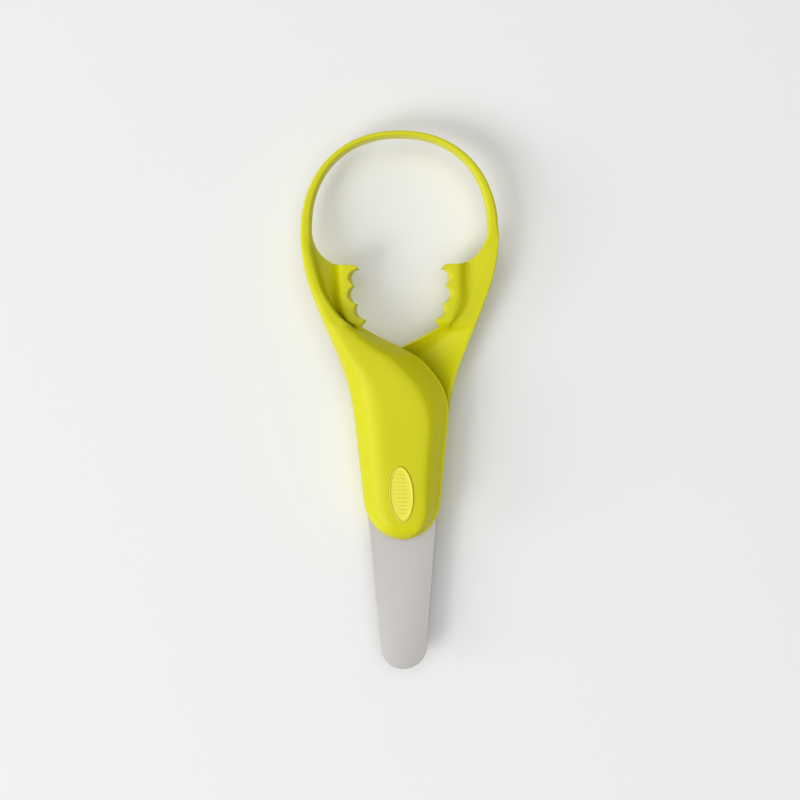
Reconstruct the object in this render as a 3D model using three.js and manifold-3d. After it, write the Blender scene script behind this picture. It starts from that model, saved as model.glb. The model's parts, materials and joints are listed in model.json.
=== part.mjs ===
// A loop-headed avocado tool: two crossed mouldings, a springy loop that slices and scoops, toothed jaws for
// the stone, and a flat steel blade. The front moulding is the left arm and the front handle cover, and the
// rear moulding is the same shape turned half a turn about the tool's long axis. They pivot on a shoulder
// screw under the badge, and squeezing the arms closes the jaws.
// Millimetres. X is across the tool, Y along it towards the loop, and Z up from the surface it lies on.
import * as THREE from "three";
import { mergeVertices } from "three/addons/utils/BufferGeometryUtils.js";
import Module from "manifold-3d";

const wasm = await Module();
wasm.setup();

// Driving dimensions. Heights are measured from the plane in which the two mouldings meet.
const MID_HEIGHT = 12.5; // from the resting surface to the meeting plane
const PARTING = 0.15; // each moulding stops this far short of the meeting plane
const WALL = 2.4; // moulded wall
const LENGTH = 235;
const HALF_LENGTH = LENGTH / 2;

// Handle and arm outline, as half-widths along the tool.
const HANDLE_END = -60.6;
const END_ROUND_LENGTH = 16.6; // the handle's end is half an ellipse this long
const ARM_END = 79; // where the arm runs into the loop
const outlineHalfWidth = smoothTrack([
  [-60.6, 16], [-47, 16.5], [-41, 17.1], [-20, 19.2], [-9.8, 20.3], [0.7, 21.8], [11.2, 24.5], [21.7, 28.4],
  [32.2, 32.8], [42.7, 37], [50.5, 39.8], [58.4, 41.8], [66.3, 43], [71.5, 43.3], [ARM_END, 42.86],
]);
// The free edge where one cover crosses the other: it leaves the outline and sweeps over to the jaw.
const CROSSING_START = -8;
const JAW_START = 32.2;
const crossingEdge = smoothTrack([
  [CROSSING_START, 20.5], [-4.6, 20.6], [1, 19.8], [6, 18], [11, 14.9], [15.4, 11.2], [19.2, 6.9],
  [23.2, 0], [27.4, -8.5], [JAW_START, -16.8],
]);

// Loop: two superellipses, the outer and inner outlines.
const LOOP_POWER = 2.2;
const LOOP_OUTER = { y: 71.5, halfWidth: 43.3, height: 46 };
const LOOP_INNER = { y: 75, halfWidth: 38.4, height: 40.1 };
const LOOP_HALF_DEPTH = 5;
const LOOP_LAP = 6; // the half-loops overlap this far past the crown's centre
const LOOP_ROWS = 20;
const LOOP_SOFTENING = 0.2; // corners cut, as a share of the strip's width

// Jaw: tooth tips from the lowest up, and how deep the scallops between them are.
const TOOTH_TIPS = [[-14.8, 35.3], [-18.5, 42.1], [-19.7, 50], [-17.7, 57.5]];
const SCALLOP_DEPTHS = [2, 2.4, 2.4];
const JAW_CORNER = [-16.8, JAW_START];
const JAW_TOP = 59.2;
const HOLE_CURVE = { x: -24, y: 75, halfWidth: 14.4, height: 15.8 }; // the loop opening's lower corner
// The toothed rim's inner edge.
const rimLine = smoothTrack([[JAW_START, -22.8], [37, -24], [46, -26], [57, -26], [ARM_END, -26]]);
const RIM_SLOPE = 3.4;
const RIM_HALF_THICKNESS = 5;
const SOFT_CORNERS = [1, 2, 3, 6]; // which corners of a section are cut
const WEB_TOP = -0.4;
const WEB_BOTTOM = -2;
const TOOTH_EDGE = 0.35; // half the thickness left at the teeth's edge
const TOOTH_BEVEL = 1.5;

// Section heights and widths along the tool.
const crestHeight = smoothTrack([
  [-60.6, 4.6], [-59.6, 7], [-58, 9.6], [-55.6, 11.7], [-52, MID_HEIGHT], [6, MID_HEIGHT], [18, 12.2],
  [30, 11.2], [45, 9.4], [60, 7.4], [72, 5.8], [ARM_END, LOOP_HALF_DEPTH],
]);
const sideHeight = smoothTrack([[-60.6, 3.4], [-50, 4.5], [10, 4.5], [22, 5.6], [32, 6.8]]);
const crossingHeight = smoothTrack([[-60.6, 3.4], [-50, 4.5], [0, 4.3], [20, 3.6], [32, 3.3]]);
const hollowHeight = smoothTrack([
  [-60.6, 0.25], [-58.2, 0.25], [-57, 5], [-54, 8.8], [-49, 10], [6, 10], [14, 8.8], [22, 5.4], [32, 0.6],
]);
const leftFlank = smoothTrack([
  [-60.6, 3], [-52.7, 5], [-42, 7], [-4, 7.8], [7.4, 7], [18.4, 4.2], [32, 2.4],
]);
const rightFlank = smoothTrack([
  [-60.6, 3], [-54.5, 5], [-42, 7.6], [-31, 8.4], [-13, 8.9], [-7, 10], [0.4, 11.8], [8.5, 13.3],
  [14.8, 14.1], [21, 14.2], [27.9, 9.8], [32, 6],
]);
const bandWidth = smoothTrack([
  [30, 14], [32.6, 12.2], [34.2, 10.6], [37.9, 8.7], [42.9, 7], [49.3, 6.1], [56.7, 5.8], [63.5, 5.6],
  [ARM_END, 4.6],
]);
const armBottom = smoothTrack([[28, 0], [34, -1.4], [45, -2.2], [60, -3.2], [ARM_END, -LOOP_HALF_DEPTH]]);
const bandShoulder = smoothTrack([[30, 4.4], [42, 2.8], [55, 1.6], [ARM_END, 1.6]]); // from the band's crest down

// Blade: a flat plate with a round tip, and a narrower tang inside the handle.
const BLADE_THICKNESS = 1.5;
const BLADE_TOP = -PARTING;
const BLADE_TIP_RADIUS = 10.25;
const BLADE_TIP_WIDTH = 10.3; // half-width where the tip's arc starts
const BLADE_ROOT_WIDTH = 15.1; // half-width where it goes into the handle
const BLADE_SHOULDER = -51.5;
const SHOULDER_ROUND = 2.5;
const TANG_HALF_WIDTH = 11;
const TANG_END = -11;
const BLADE_CLEARANCE = 0.2;

// Pivot, stop and fasteners, all on the tool's long axis.
const PIVOT_Y = -41;
const STOP_Y = -18;
const BLADE_SCREW_YS = [-29.5, -53];
const SHANK_RADIUS = 2;
const RUNNING_GAP = 0.1;
const HEAD_RADIUS = 3.8;
const POCKET_RADIUS = 4.3;
const POCKET_FLOOR = 4.5;
const PIVOT_BOSS_RADIUS = 6.2;
const WASHER_THICKNESS = 0.6;
const WASHER_RADIUS = 5.6;
const HEAD_WASHER_RADIUS = 4.1;
const INSERT_RADIUS = 3;
const INSERT_BOTTOM = -9.2;
const STOP_RADIUS = 2;
const STOP_TOP = 4;
const STOP_BOTTOM = -8;
const SQUEEZE_ANGLE = THREE.MathUtils.degToRad(8);
const SMALL_SHANK_RADIUS = 1.5;
const SMALL_HEAD_RADIUS = 2.9;
const TIGHT_FIT = 0.05;
const RIB = { halfLength: 3.5, thickness: 1.6, openGap: 0.15, closedGap: 0.3 };
// The rear moulding's bosses, as [place, radius, top]: pivot, stop and the two blade screws.
const ROOF_INSIDE = 11; // bosses run up into the roof and stop below its skin
const REAR_BOSSES = [
  [PIVOT_Y, 4.8, ROOF_INSIDE], [STOP_Y, 3.6, ROOF_INSIDE],
  [BLADE_SCREW_YS[0], 3.1, ROOF_INSIDE], [BLADE_SCREW_YS[1], 3.1, 9.4],
];

// Badge: an oval plate on two pegs in a shallow seat in the front cover.
const BADGE = { x: -0.4, y: -40.3, halfWidth: 5.2, halfHeight: 11.9, turn: THREE.MathUtils.degToRad(2.5) };
const BADGE_SEAT = 11.2;
const BADGE_TOP = MID_HEIGHT + 0.5;
const BADGE_GAP = 0.15;
const PEG_OFFSET = 8.6;
const PEG_RADIUS = 1;
const PEG_CLEARANCE = 0.12;

const nylonLime = new THREE.MeshStandardMaterial({ color: 0xc8c80a, roughness: 0.45, metalness: 0 });
const badgeLime = new THREE.MeshStandardMaterial({ color: 0xe6e25a, roughness: 0.3, metalness: 0 });
const satinSteel = new THREE.MeshStandardMaterial({ color: 0xc9c5c2, roughness: 0.35, metalness: 1 });
const screwSteel = new THREE.MeshStandardMaterial({ color: 0xa8a8ac, roughness: 0.3, metalness: 1 });
const acetalWhite = new THREE.MeshStandardMaterial({ color: 0xe9e8e2, roughness: 0.5, metalness: 0 });
const brass = new THREE.MeshStandardMaterial({ color: 0xc9a24a, roughness: 0.35, metalness: 1 });

// A smooth curve through [position, value] knots that never overshoots them.
function smoothTrack(knots) {
  const slopes = knots.slice(1).map(([x, v], i) => (v - knots[i][1]) / (x - knots[i][0]));
  const tangents = knots.map((_, i) => {
    if (i === 0 || i === knots.length - 1) return slopes[Math.min(i, slopes.length - 1)];
    const [before, after] = [slopes[i - 1], slopes[i]];
    return before * after <= 0 ? 0 : (2 * before * after) / (before + after);
  });
  return (x) => {
    const last = knots.length - 1;
    if (x <= knots[0][0]) return knots[0][1];
    if (x >= knots[last][0]) return knots[last][1];
    const i = knots.findIndex(([edge]) => edge > x) - 1;
    const span = knots[i + 1][0] - knots[i][0];
    const t = (x - knots[i][0]) / span;
    const fromStart = (1 + 2 * t) * (1 - t) ** 2;
    const toEnd = t * t * (3 - 2 * t);
    const lean = t * (1 - t) ** 2 * span * tangents[i] - t * t * (1 - t) * span * tangents[i + 1];
    return fromStart * knots[i][1] + toEnd * knots[i + 1][1] + lean;
  };
}

// The outline's half-width, with the handle's round end.
function halfWidth(y) {
  const into = Math.max(0, HANDLE_END + END_ROUND_LENGTH - y) / END_ROUND_LENGTH;
  return outlineHalfWidth(y) * Math.sqrt(Math.max(0, 1 - into * into));
}

const outerPoint = (y) => new THREE.Vector2(-halfWidth(y), y);
const evenly = (count) => Array.from({ length: count }, (_, i) => i / count);

// Points along the scallop between two tooth tips, a circular arc that bites into the jaw.
function scallop([x0, y0], [x1, y1], depth, share) {
  const chord = Math.hypot(x1 - x0, y1 - y0);
  const radius = (chord * chord / 4 + depth * depth) / (2 * depth);
  const along = chord * (share - 0.5);
  const bite = Math.sqrt(radius * radius - along * along) - (radius - depth);
  const [outX, outY] = [-(y1 - y0) / chord, (x1 - x0) / chord];
  return new THREE.Vector2(x0 + (x1 - x0) * share + outX * bite, y0 + (y1 - y0) * share + outY * bite);
}

// Each row of the moulding runs from the outer outline to its free edge. bevel is the width of the sharpened
// strip at the free edge, and thin is 1 where that edge is a tooth's.
function mouldingRows() {
  const rows = [];
  const add = (y, inner, bevel = 0.6, thin = 0) => rows.push({ y, outer: outerPoint(y), inner, bevel, thin });
  const across = (y) => add(y, new THREE.Vector2(halfWidth(y), y));
  const firstAngle = 0.965;
  for (const share of evenly(7)) {
    const angle = (Math.PI / 2) * firstAngle * (1 - share);
    across(HANDLE_END + END_ROUND_LENGTH * (1 - Math.sin(angle)));
  }
  const straightStart = HANDLE_END + END_ROUND_LENGTH;
  for (const share of evenly(5)) across(straightStart + (CROSSING_START - straightStart) * share);
  for (const share of evenly(20)) {
    const y = CROSSING_START + (JAW_START - CROSSING_START) * share ** 0.75;
    add(y, new THREE.Vector2(crossingEdge(y), y));
  }
  add(JAW_START, new THREE.Vector2(...JAW_CORNER), 0.8, 0.5);
  TOOTH_TIPS.slice(0, -1).forEach((tip, i) => {
    const next = TOOTH_TIPS[i + 1];
    for (const share of evenly(6)) {
      const bevel = 0.5 + (TOOTH_BEVEL - 0.5) * Math.sin(Math.PI * share);
      add(tip[1] + (next[1] - tip[1]) * share, scallop(tip, next, SCALLOP_DEPTHS[i], share), bevel, 1);
    }
  });
  const topTip = TOOTH_TIPS.at(-1);
  add(topTip[1], new THREE.Vector2(...topTip), 0.5, 1);
  add(58.1, new THREE.Vector2(topTip[0] - 2.6, JAW_TOP), 0.5, 0.3);
  const openingRows = 9;
  for (let i = 0; i <= openingRows; i++) {
    const angle = (Math.PI / 2) * (1 - i / openingRows);
    const inner = new THREE.Vector2(
      HOLE_CURVE.x - HOLE_CURVE.halfWidth * Math.cos(angle),
      HOLE_CURVE.y - HOLE_CURVE.height * Math.sin(angle),
    );
    add(59 + 16.5 * (i / openingRows) ** 1.3, inner, 0.6);
  }
  add(ARM_END, new THREE.Vector2(-loopHalfWidth(LOOP_INNER, ARM_END), ARM_END), 0.6);
  return rows;
}

// A section is a closed list of keys [distance from the outer outline, height, corner radius]. Every kind has
// the same number, so that they blend: 0-1 outer wall, 2-3 crest, 4-8 down to the free edge, 9-14 underside.
function handleSection(y, width) {
  const top = crestHeight(y);
  const side = sideHeight(y);
  const edge = crossingHeight(y);
  const left = Math.min(leftFlank(y), 0.34 * width);
  const right = width - Math.min(rightFlank(y), 0.46 * width);
  const wall = Math.min(WALL, 0.25 * width);
  const lip = Math.min(0.5, 0.08 * width);
  const roof = hollowHeight(y);
  const roofRight = Math.min(Math.max(right - 0.6, 0.56 * width), width - wall - 2 * lip);
  const roofLeft = Math.max(Math.min(left + 0.6, 0.44 * width), wall + 2 * lip);
  const flank = (share) => [right + (width - 0.5 - right) * share, top + (edge - top) * share ** 1.25, 2];
  return [
    [0, PARTING, 0.3], [0.4, side, 2.4], [left, top, 2.6], [right, top, 4],
    flank(0.34), flank(0.68), [width - 0.5, edge, 1.2], [width, edge * 0.5, 0.8], [width, PARTING, 0.3],
    [width - wall, PARTING, 0.3], [width - wall - lip, Math.min(edge - 1.2, roof), 1.2],
    [roofRight, roof, 2], [roofLeft, roof, 2],
    [wall + lip, Math.min(side - 1.2, roof), 1.2], [wall, PARTING, 0.3],
  ];
}

// The arm beside the jaw: a standing band, then a thin web, then the thicker toothed rim. The rim fades out
// where the opening's edge comes in past it, and the web thickens into the strip.
function jawSection(row, width) {
  const { y, bevel, thin } = row;
  const top = crestHeight(y);
  const bottom = armBottom(y);
  const webBottom = THREE.MathUtils.lerp(WEB_BOTTOM, bottom, THREE.MathUtils.smoothstep(y, 58, 70));
  const band = Math.min(bandWidth(y), width - 0.5);
  const toRim = -row.outer.x + rimLine(row.inner.y);
  const rim = THREE.MathUtils.smoothstep(width - toRim + RIM_SLOPE, 0.5, RIM_SLOPE + 1.5);
  const high = THREE.MathUtils.lerp(WEB_TOP, RIM_HALF_THICKNESS, rim);
  const low = THREE.MathUtils.lerp(webBottom, -Math.max(RIM_HALF_THICKNESS, -webBottom), rim);
  const edge = width - bevel;
  const foot = Math.min(band + 0.2, edge - 0.12);
  const toe = Math.min(Math.max(toRim - RIM_SLOPE, foot + 0.04), edge - 0.08);
  const crown = Math.min(Math.max(toRim, toe + 0.04), edge - 0.04);
  const edgeTop = THREE.MathUtils.lerp(high - 0.5, TOOTH_EDGE, thin);
  const edgeBottom = THREE.MathUtils.lerp(low + 0.5, -TOOTH_EDGE, thin);
  return [
    [0, bottom, 1], [0.2, top - bandShoulder(y), 1.2], [1.6, top, 1.4], [band - 0.6, top, 1.2],
    [foot, WEB_TOP, 1], [toe, WEB_TOP, 1], [crown, high, 1], [edge, high, 1], [width, edgeTop, 1],
    [width, edgeBottom, 1], [edge, low, 1], [crown, low, 1], [toe, webBottom, 1],
    [band * 0.8, bottom, 1], [Math.min(1.2, band * 0.3), bottom, 1],
  ];
}

// The strip that the arm becomes where it meets the loop, standing on its edge.
function stripSection(width) {
  const depth = LOOP_HALF_DEPTH;
  const soft = Math.min(1.2, width * 0.3);
  const inside = [0.6, 0.3, 0.05, -0.3, -0.7, -1].map((share) => [width, depth * share, 0.4]);
  const under = [0.8, 0.65, 0.5, 0.25, 0.1].map((share) => [width * share, -depth, 0.3]);
  return [[0, -depth, soft], [0, depth * 0.4, 1], [0, depth, soft], [width, depth, soft], ...inside, ...under];
}

const blendKeys = (a, b, share) => a.map((key, i) => key.map((v, k) => THREE.MathUtils.lerp(v, b[i][k], share)));

function mouldingSection(row) {
  const width = row.outer.distanceTo(row.inner);
  const toJaw = THREE.MathUtils.smoothstep(row.y, 29.5, 34.5);
  const toLoop = THREE.MathUtils.smoothstep(row.y, 66, ARM_END);
  const jaw = toJaw > 0 ? jawSection(row, width) : null;
  const base = toJaw < 1 ? handleSection(row.y, width) : jaw;
  const joined = toJaw > 0 && toJaw < 1 ? blendKeys(base, jaw, toJaw) : base;
  return toLoop > 0 ? blendKeys(joined, stripSection(width), toLoop) : joined;
}

// Cuts the corners that show, at the sides, the crest and the free edge, to soften them.
function softenedSection(keys) {
  const at = (i) => keys[(i + keys.length) % keys.length];
  return keys.flatMap(([d, h, radius], i) => {
    if (!SOFT_CORNERS.includes(i)) return [[d, h]];
    return [at(i - 1), at(i + 1)].map(([nd, nh]) => {
      const reach = Math.min(0.45, (0.7 * radius) / Math.max(1e-6, Math.hypot(nd - d, nh - h)));
      return [d + (nd - d) * reach, h + (nh - h) * reach];
    });
  });
}

// A closed skin over rows of sections, each laid from its row's outer point towards its inner point.
function loft(rows, sections) {
  const size = sections[0].length;
  const positions = rows.flatMap(({ outer, inner }, r) => {
    const along = inner.clone().sub(outer).normalize();
    return sections[r].flatMap(([d, h]) => [outer.x + along.x * d, outer.y + along.y * d, h]);
  });
  const indices = [];
  for (let r = 0; r + 1 < rows.length; r++) {
    for (let i = 0; i < size; i++) {
      const [a, b] = [r * size + i, r * size + ((i + 1) % size)];
      indices.push(a, b, b + size, a, b + size, a + size);
    }
  }
  // Each end is closed by a fan about the middle of its section.
  for (const [r, flip] of [[0, true], [rows.length - 1, false]]) {
    const middle = positions.length / 3;
    for (let axis = 0; axis < 3; axis++) {
      const values = Array.from({ length: size }, (_, i) => positions[(r * size + i) * 3 + axis]);
      positions.push(values.reduce((sum, v) => sum + v, 0) / size);
    }
    for (let i = 0; i < size; i++) {
      const [a, b] = [r * size + i, r * size + ((i + 1) % size)];
      indices.push(...(flip ? [middle, b, a] : [middle, a, b]));
    }
  }
  const geometry = new THREE.BufferGeometry();
  geometry.setAttribute("position", new THREE.Float32BufferAttribute(positions, 3));
  geometry.setIndex(indices);
  return geometry;
}

function loopHalfWidth(oval, y) {
  return oval.halfWidth * (1 - ((y - oval.y) / oval.height) ** LOOP_POWER) ** (1 / LOOP_POWER);
}

// A point on one of the loop's outlines: share 0 is at the left arm, 0.5 at the crown and 1 at the right arm.
function loopPoint(oval, share) {
  const start = Math.asin(((ARM_END - oval.y) / oval.height) ** (LOOP_POWER / 2));
  const angle = start + (Math.PI - 2 * start) * share;
  const [c, s] = [Math.cos(angle), Math.sin(angle)];
  return new THREE.Vector2(
    -Math.sign(c) * oval.halfWidth * Math.abs(c) ** (2 / LOOP_POWER),
    oval.y + oval.height * s ** (2 / LOOP_POWER),
  );
}

// Half of the loop, from the left arm to just past the crown. Past its root it keeps to the upper half of the
// strip's depth, so that it slides over the other half when the tool is squeezed.
function halfLoop() {
  const root = 0.004;
  const end = 0.5 + LOOP_LAP / (Math.PI * LOOP_OUTER.halfWidth);
  const rows = evenly(LOOP_ROWS + 1).map((part) => {
    const share = root + (end - root) * part * (LOOP_ROWS + 1) / LOOP_ROWS;
    return { share, outer: loopPoint(LOOP_OUTER, share), inner: loopPoint(LOOP_INNER, share) };
  });
  const sections = rows.map(({ share, outer, inner }) => {
    const width = outer.distanceTo(inner);
    const top = LOOP_HALF_DEPTH;
    const bottom = THREE.MathUtils.lerp(-top, PARTING, THREE.MathUtils.smoothstep(share, 0.03, 0.16));
    const soft = LOOP_SOFTENING * width;
    return [
      [0, bottom + soft], [0, top - soft], [soft, top], [width - soft, top],
      [width, top - soft], [width, bottom + soft], [width - soft, bottom], [soft, bottom],
    ];
  });
  return loft(rows, sections);
}

function toSolid(geometry) {
  const bare = geometry.index ? geometry.toNonIndexed() : geometry.clone();
  bare.deleteAttribute("normal");
  bare.deleteAttribute("uv");
  const merged = mergeVertices(bare, 1e-4);
  const mesh = { numProp: 3, vertProperties: merged.attributes.position.array, triVerts: merged.index.array };
  return new wasm.Manifold(new wasm.Mesh({ ...mesh, triVerts: new Uint32Array(mesh.triVerts) }));
}

function toGeometry(solid) {
  const { vertProperties, triVerts } = solid.getMesh();
  const geometry = new THREE.BufferGeometry();
  geometry.setAttribute("position", new THREE.BufferAttribute(vertProperties, 3));
  geometry.setIndex(new THREE.BufferAttribute(triVerts, 1));
  return geometry;
}

// An upright cylinder at a place on the long axis, between two heights.
function post(radius, y, bottom, top, x = 0, sides = 24) {
  const geometry = new THREE.CylinderGeometry(radius, radius, top - bottom, sides);
  geometry.rotateX(Math.PI / 2);
  geometry.translate(x, y, (top + bottom) / 2);
  return geometry;
}

function block(x0, x1, y0, y1, z0, z1) {
  const geometry = new THREE.BoxGeometry(x1 - x0, y1 - y0, z1 - z0);
  geometry.translate((x0 + x1) / 2, (y0 + y1) / 2, (z0 + z1) / 2);
  return geometry;
}

// A tube or washer standing on the long axis.
function ring(inner, outer, y, bottom, top) {
  const profile = [[inner, bottom], [outer, bottom], [outer, top], [inner, top], [inner, bottom]];
  const geometry = new THREE.LatheGeometry(profile.map(([r, h]) => new THREE.Vector2(r, h)), 24);
  geometry.rotateX(Math.PI / 2);
  geometry.translate(0, y, 0);
  return geometry;
}

// A solid turned about an upright axis at y, from a profile that starts and ends on that axis.
function turned(profile, y) {
  const geometry = new THREE.LatheGeometry(profile.map(([r, h]) => new THREE.Vector2(r, h)), 24);
  geometry.rotateX(Math.PI / 2);
  geometry.translate(0, y, 0);
  return geometry;
}

function ovalPlate(grow, bottom, top) {
  const shape = new THREE.Shape();
  shape.absellipse(0, 0, BADGE.halfWidth + grow, BADGE.halfHeight + grow, 0, 2 * Math.PI, false, BADGE.turn);
  const options = { depth: top - bottom, bevelEnabled: false, curveSegments: 18 };
  const geometry = new THREE.ExtrudeGeometry(shape, options);
  geometry.translate(BADGE.x, BADGE.y, bottom);
  return geometry;
}

// The two pegs behind the badge, or the holes that they go into.
function pegs(radius, bottom, top) {
  return [-1, 1].map((side) => {
    const x = BADGE.x - side * PEG_OFFSET * Math.sin(BADGE.turn);
    return post(radius, BADGE.y + side * PEG_OFFSET, bottom, top, x, 16);
  });
}

// The blade's outline, grown by a margin for the pocket it lies in.
function bladeShape(grow) {
  const tipY = -HALF_LENGTH + BLADE_TIP_RADIUS;
  const [root, tang, tip] = [BLADE_ROOT_WIDTH + grow, TANG_HALF_WIDTH + grow, BLADE_TIP_WIDTH + grow];
  const shoulder = BLADE_SHOULDER + SHOULDER_ROUND + grow;
  const end = TANG_END + grow;
  const round = 4;
  const shape = new THREE.Shape();
  shape.moveTo(-root, BLADE_SHOULDER);
  shape.lineTo(-tip, tipY);
  shape.absellipse(0, tipY, tip, BLADE_TIP_RADIUS + grow, Math.PI, 2 * Math.PI, false, 0);
  shape.lineTo(root, BLADE_SHOULDER);
  shape.quadraticCurveTo(root, shoulder, tang, shoulder);
  shape.lineTo(tang, end - round);
  shape.quadraticCurveTo(tang, end, tang - round, end);
  shape.lineTo(-tang + round, end);
  shape.quadraticCurveTo(-tang, end, -tang, end - round);
  shape.lineTo(-tang, shoulder);
  shape.quadraticCurveTo(-root, shoulder, -root, BLADE_SHOULDER);
  return shape;
}

function bladePlate(grow, bottom, top) {
  const options = { depth: top - bottom, bevelEnabled: false, curveSegments: 12 };
  const geometry = new THREE.ExtrudeGeometry(bladeShape(grow), options);
  geometry.translate(0, 0, bottom);
  return geometry;
}

const join = (solid, geometries) => geometries.reduce((made, g) => made.add(toSolid(g)), solid);
const cut = (solid, geometries) => geometries.reduce((made, g) => made.subtract(toSolid(g)), solid);

const mouldingRowList = mouldingRows();
const mouldingSections = mouldingRowList.map((row) => softenedSection(mouldingSection(row)));
const moulding = toSolid(loft(mouldingRowList, mouldingSections));

// The front moulding: the screw's boss and pocket, the badge's seat, and two ribs that meet the stop pin.
function frontHalf() {
  const bossBottom = BLADE_TOP + RUNNING_GAP + WASHER_THICKNESS + RUNNING_GAP;
  const travel = (STOP_Y - PIVOT_Y) * Math.sin(SQUEEZE_ANGLE);
  const ribSpan = [STOP_Y - RIB.halfLength, STOP_Y + RIB.halfLength, PARTING + 0.8, ROOF_INSIDE - 0.4];
  const openFace = STOP_RADIUS + RIB.openGap;
  const closedFace = -STOP_RADIUS - travel - RIB.closedGap;
  const bossed = join(moulding, [
    post(PIVOT_BOSS_RADIUS, PIVOT_Y, bossBottom, ROOF_INSIDE),
    block(openFace, openFace + RIB.thickness, ...ribSpan),
    block(closedFace - RIB.thickness, closedFace, ...ribSpan),
  ]);
  return cut(bossed, [
    post(POCKET_RADIUS, PIVOT_Y, POCKET_FLOOR, MID_HEIGHT + 2),
    post(SHANK_RADIUS + RUNNING_GAP, PIVOT_Y, -1, MID_HEIGHT),
    ovalPlate(BADGE_GAP, BADGE_SEAT, MID_HEIGHT + 3),
    ...pegs(PEG_RADIUS + PEG_CLEARANCE, BADGE_SEAT - 4, BADGE_SEAT + 1),
  ]);
}

// The rear moulding, in its own frame, which is the front's turned over: up here is down on the tool.
function rearHalf() {
  const seat = -BLADE_TOP + BLADE_THICKNESS + RUNNING_GAP;
  const bosses = REAR_BOSSES.map(([y, radius, top]) => post(radius, y, seat, top));
  return cut(join(moulding, bosses), [
    bladePlate(BLADE_CLEARANCE, -1, seat),
    post(INSERT_RADIUS + TIGHT_FIT, PIVOT_Y, -1, 9.4),
    post(STOP_RADIUS + TIGHT_FIT, STOP_Y, -1, 8.1),
    ...BLADE_SCREW_YS.map((y) => post(SMALL_SHANK_RADIUS + TIGHT_FIT, y, -1, 7.7, 0, 16)),
  ]);
}

function blade() {
  const plate = toSolid(bladePlate(0, BLADE_TOP - BLADE_THICKNESS, BLADE_TOP));
  const hole = (radius, y) => post(radius + RUNNING_GAP, y, -5, 5);
  return cut(plate, [
    hole(SHANK_RADIUS, PIVOT_Y),
    hole(STOP_RADIUS, STOP_Y),
    ...BLADE_SCREW_YS.map((y) => hole(SMALL_SHANK_RADIUS, y)),
  ]);
}

// A shoulder screw with a hexagon socket: its head sits under the badge.
function pivotScrew() {
  const headBottom = POCKET_FLOOR + WASHER_THICKNESS + 2 * RUNNING_GAP;
  const headTop = headBottom + 2.8;
  const screw = turned([
    [0, -8.4], [SHANK_RADIUS - 0.4, -8.4], [SHANK_RADIUS, -8], [SHANK_RADIUS, headBottom],
    [HEAD_RADIUS, headBottom], [HEAD_RADIUS, headTop - 0.4], [HEAD_RADIUS - 0.4, headTop], [0, headTop],
  ], PIVOT_Y);
  return cut(toSolid(screw), [post(1.7, PIVOT_Y, headTop - 1.6, headTop + 1, 0, 6)]);
}

function bladeScrew(y) {
  const headBottom = BLADE_TOP + RUNNING_GAP;
  const headTop = headBottom + 1.7;
  const screw = turned([
    [0, -7.4], [0.7, -7.4], [SMALL_SHANK_RADIUS, -6.4], [SMALL_SHANK_RADIUS, headBottom],
    [SMALL_HEAD_RADIUS, headBottom], [SMALL_HEAD_RADIUS - 0.2, headTop - 0.7], [1.8, headTop], [0, headTop],
  ], y);
  const slot = 0.3;
  return cut(toSolid(screw), [
    block(-1.5, 1.5, y - slot, y + slot, headTop - 0.9, headTop + 1),
    block(-slot, slot, y - 1.5, y + 1.5, headTop - 0.9, headTop + 1),
  ]);
}

function badge() {
  const plate = toSolid(ovalPlate(0, BADGE_SEAT + RUNNING_GAP, BADGE_TOP));
  return join(plate, pegs(PEG_RADIUS, BADGE_SEAT - 2.4, BADGE_TOP - 0.5));
}

function stopPin() {
  return turned([
    [0, STOP_BOTTOM], [STOP_RADIUS - 0.4, STOP_BOTTOM], [STOP_RADIUS, STOP_BOTTOM + 0.4],
    [STOP_RADIUS, STOP_TOP - 0.4],
    [STOP_RADIUS - 0.4, STOP_TOP], [0, STOP_TOP],
  ], STOP_Y);
}

function named(name, geometry, material) {
  const mesh = new THREE.Mesh(geometry, material);
  mesh.name = name;
  return mesh;
}

// Each washer fills its gap but for the running clearances.
function washer(radius, bottom) {
  return ring(SHANK_RADIUS + RUNNING_GAP, radius, PIVOT_Y, bottom, bottom + WASHER_THICKNESS);
}

function pivotInsert() {
  const top = BLADE_TOP - BLADE_THICKNESS - RUNNING_GAP;
  return ring(SHANK_RADIUS + TIGHT_FIT, INSERT_RADIUS, PIVOT_Y, INSERT_BOTTOM, top);
}

const frontSide = new THREE.Group();
frontSide.add(
  named("front_half", toGeometry(frontHalf()), nylonLime),
  named("loop_left", halfLoop(), nylonLime),
  named("badge", toGeometry(badge()), badgeLime),
  named("head_washer", washer(HEAD_WASHER_RADIUS, POCKET_FLOOR + RUNNING_GAP), acetalWhite),
);

const turnedOver = new THREE.Group();
turnedOver.rotation.y = Math.PI;
turnedOver.add(
  named("rear_half", toGeometry(rearHalf()), nylonLime),
  named("loop_right", halfLoop(), nylonLime),
);

const core = new THREE.Group();
core.add(
  named("blade", toGeometry(blade()), satinSteel),
  named("pivot_screw", toGeometry(pivotScrew()), screwSteel),
  named("pivot_insert", pivotInsert(), brass),
  named("pivot_washer", washer(WASHER_RADIUS, BLADE_TOP + RUNNING_GAP), acetalWhite),
  named("blade_screw_upper", toGeometry(bladeScrew(BLADE_SCREW_YS[0])), screwSteel),
  named("blade_screw_lower", toGeometry(bladeScrew(BLADE_SCREW_YS[1])), screwSteel),
  named("stop_pin", stopPin(), screwSteel),
);

const tool = new THREE.Group();
tool.position.z = MID_HEIGHT;
tool.add(frontSide, turnedOver, core);

export default tool;
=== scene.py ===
"""The avocado tool's finished look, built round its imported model.

Two crossed lime mouldings, a springy loop, a flat steel blade and an oval badge. Each sub-assembly is a class
whose fields are its sizes in millimetres, with heights measured from the plane where the mouldings meet.
"""

import json
import logging
import math
from dataclasses import dataclass
from enum import Enum

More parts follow.
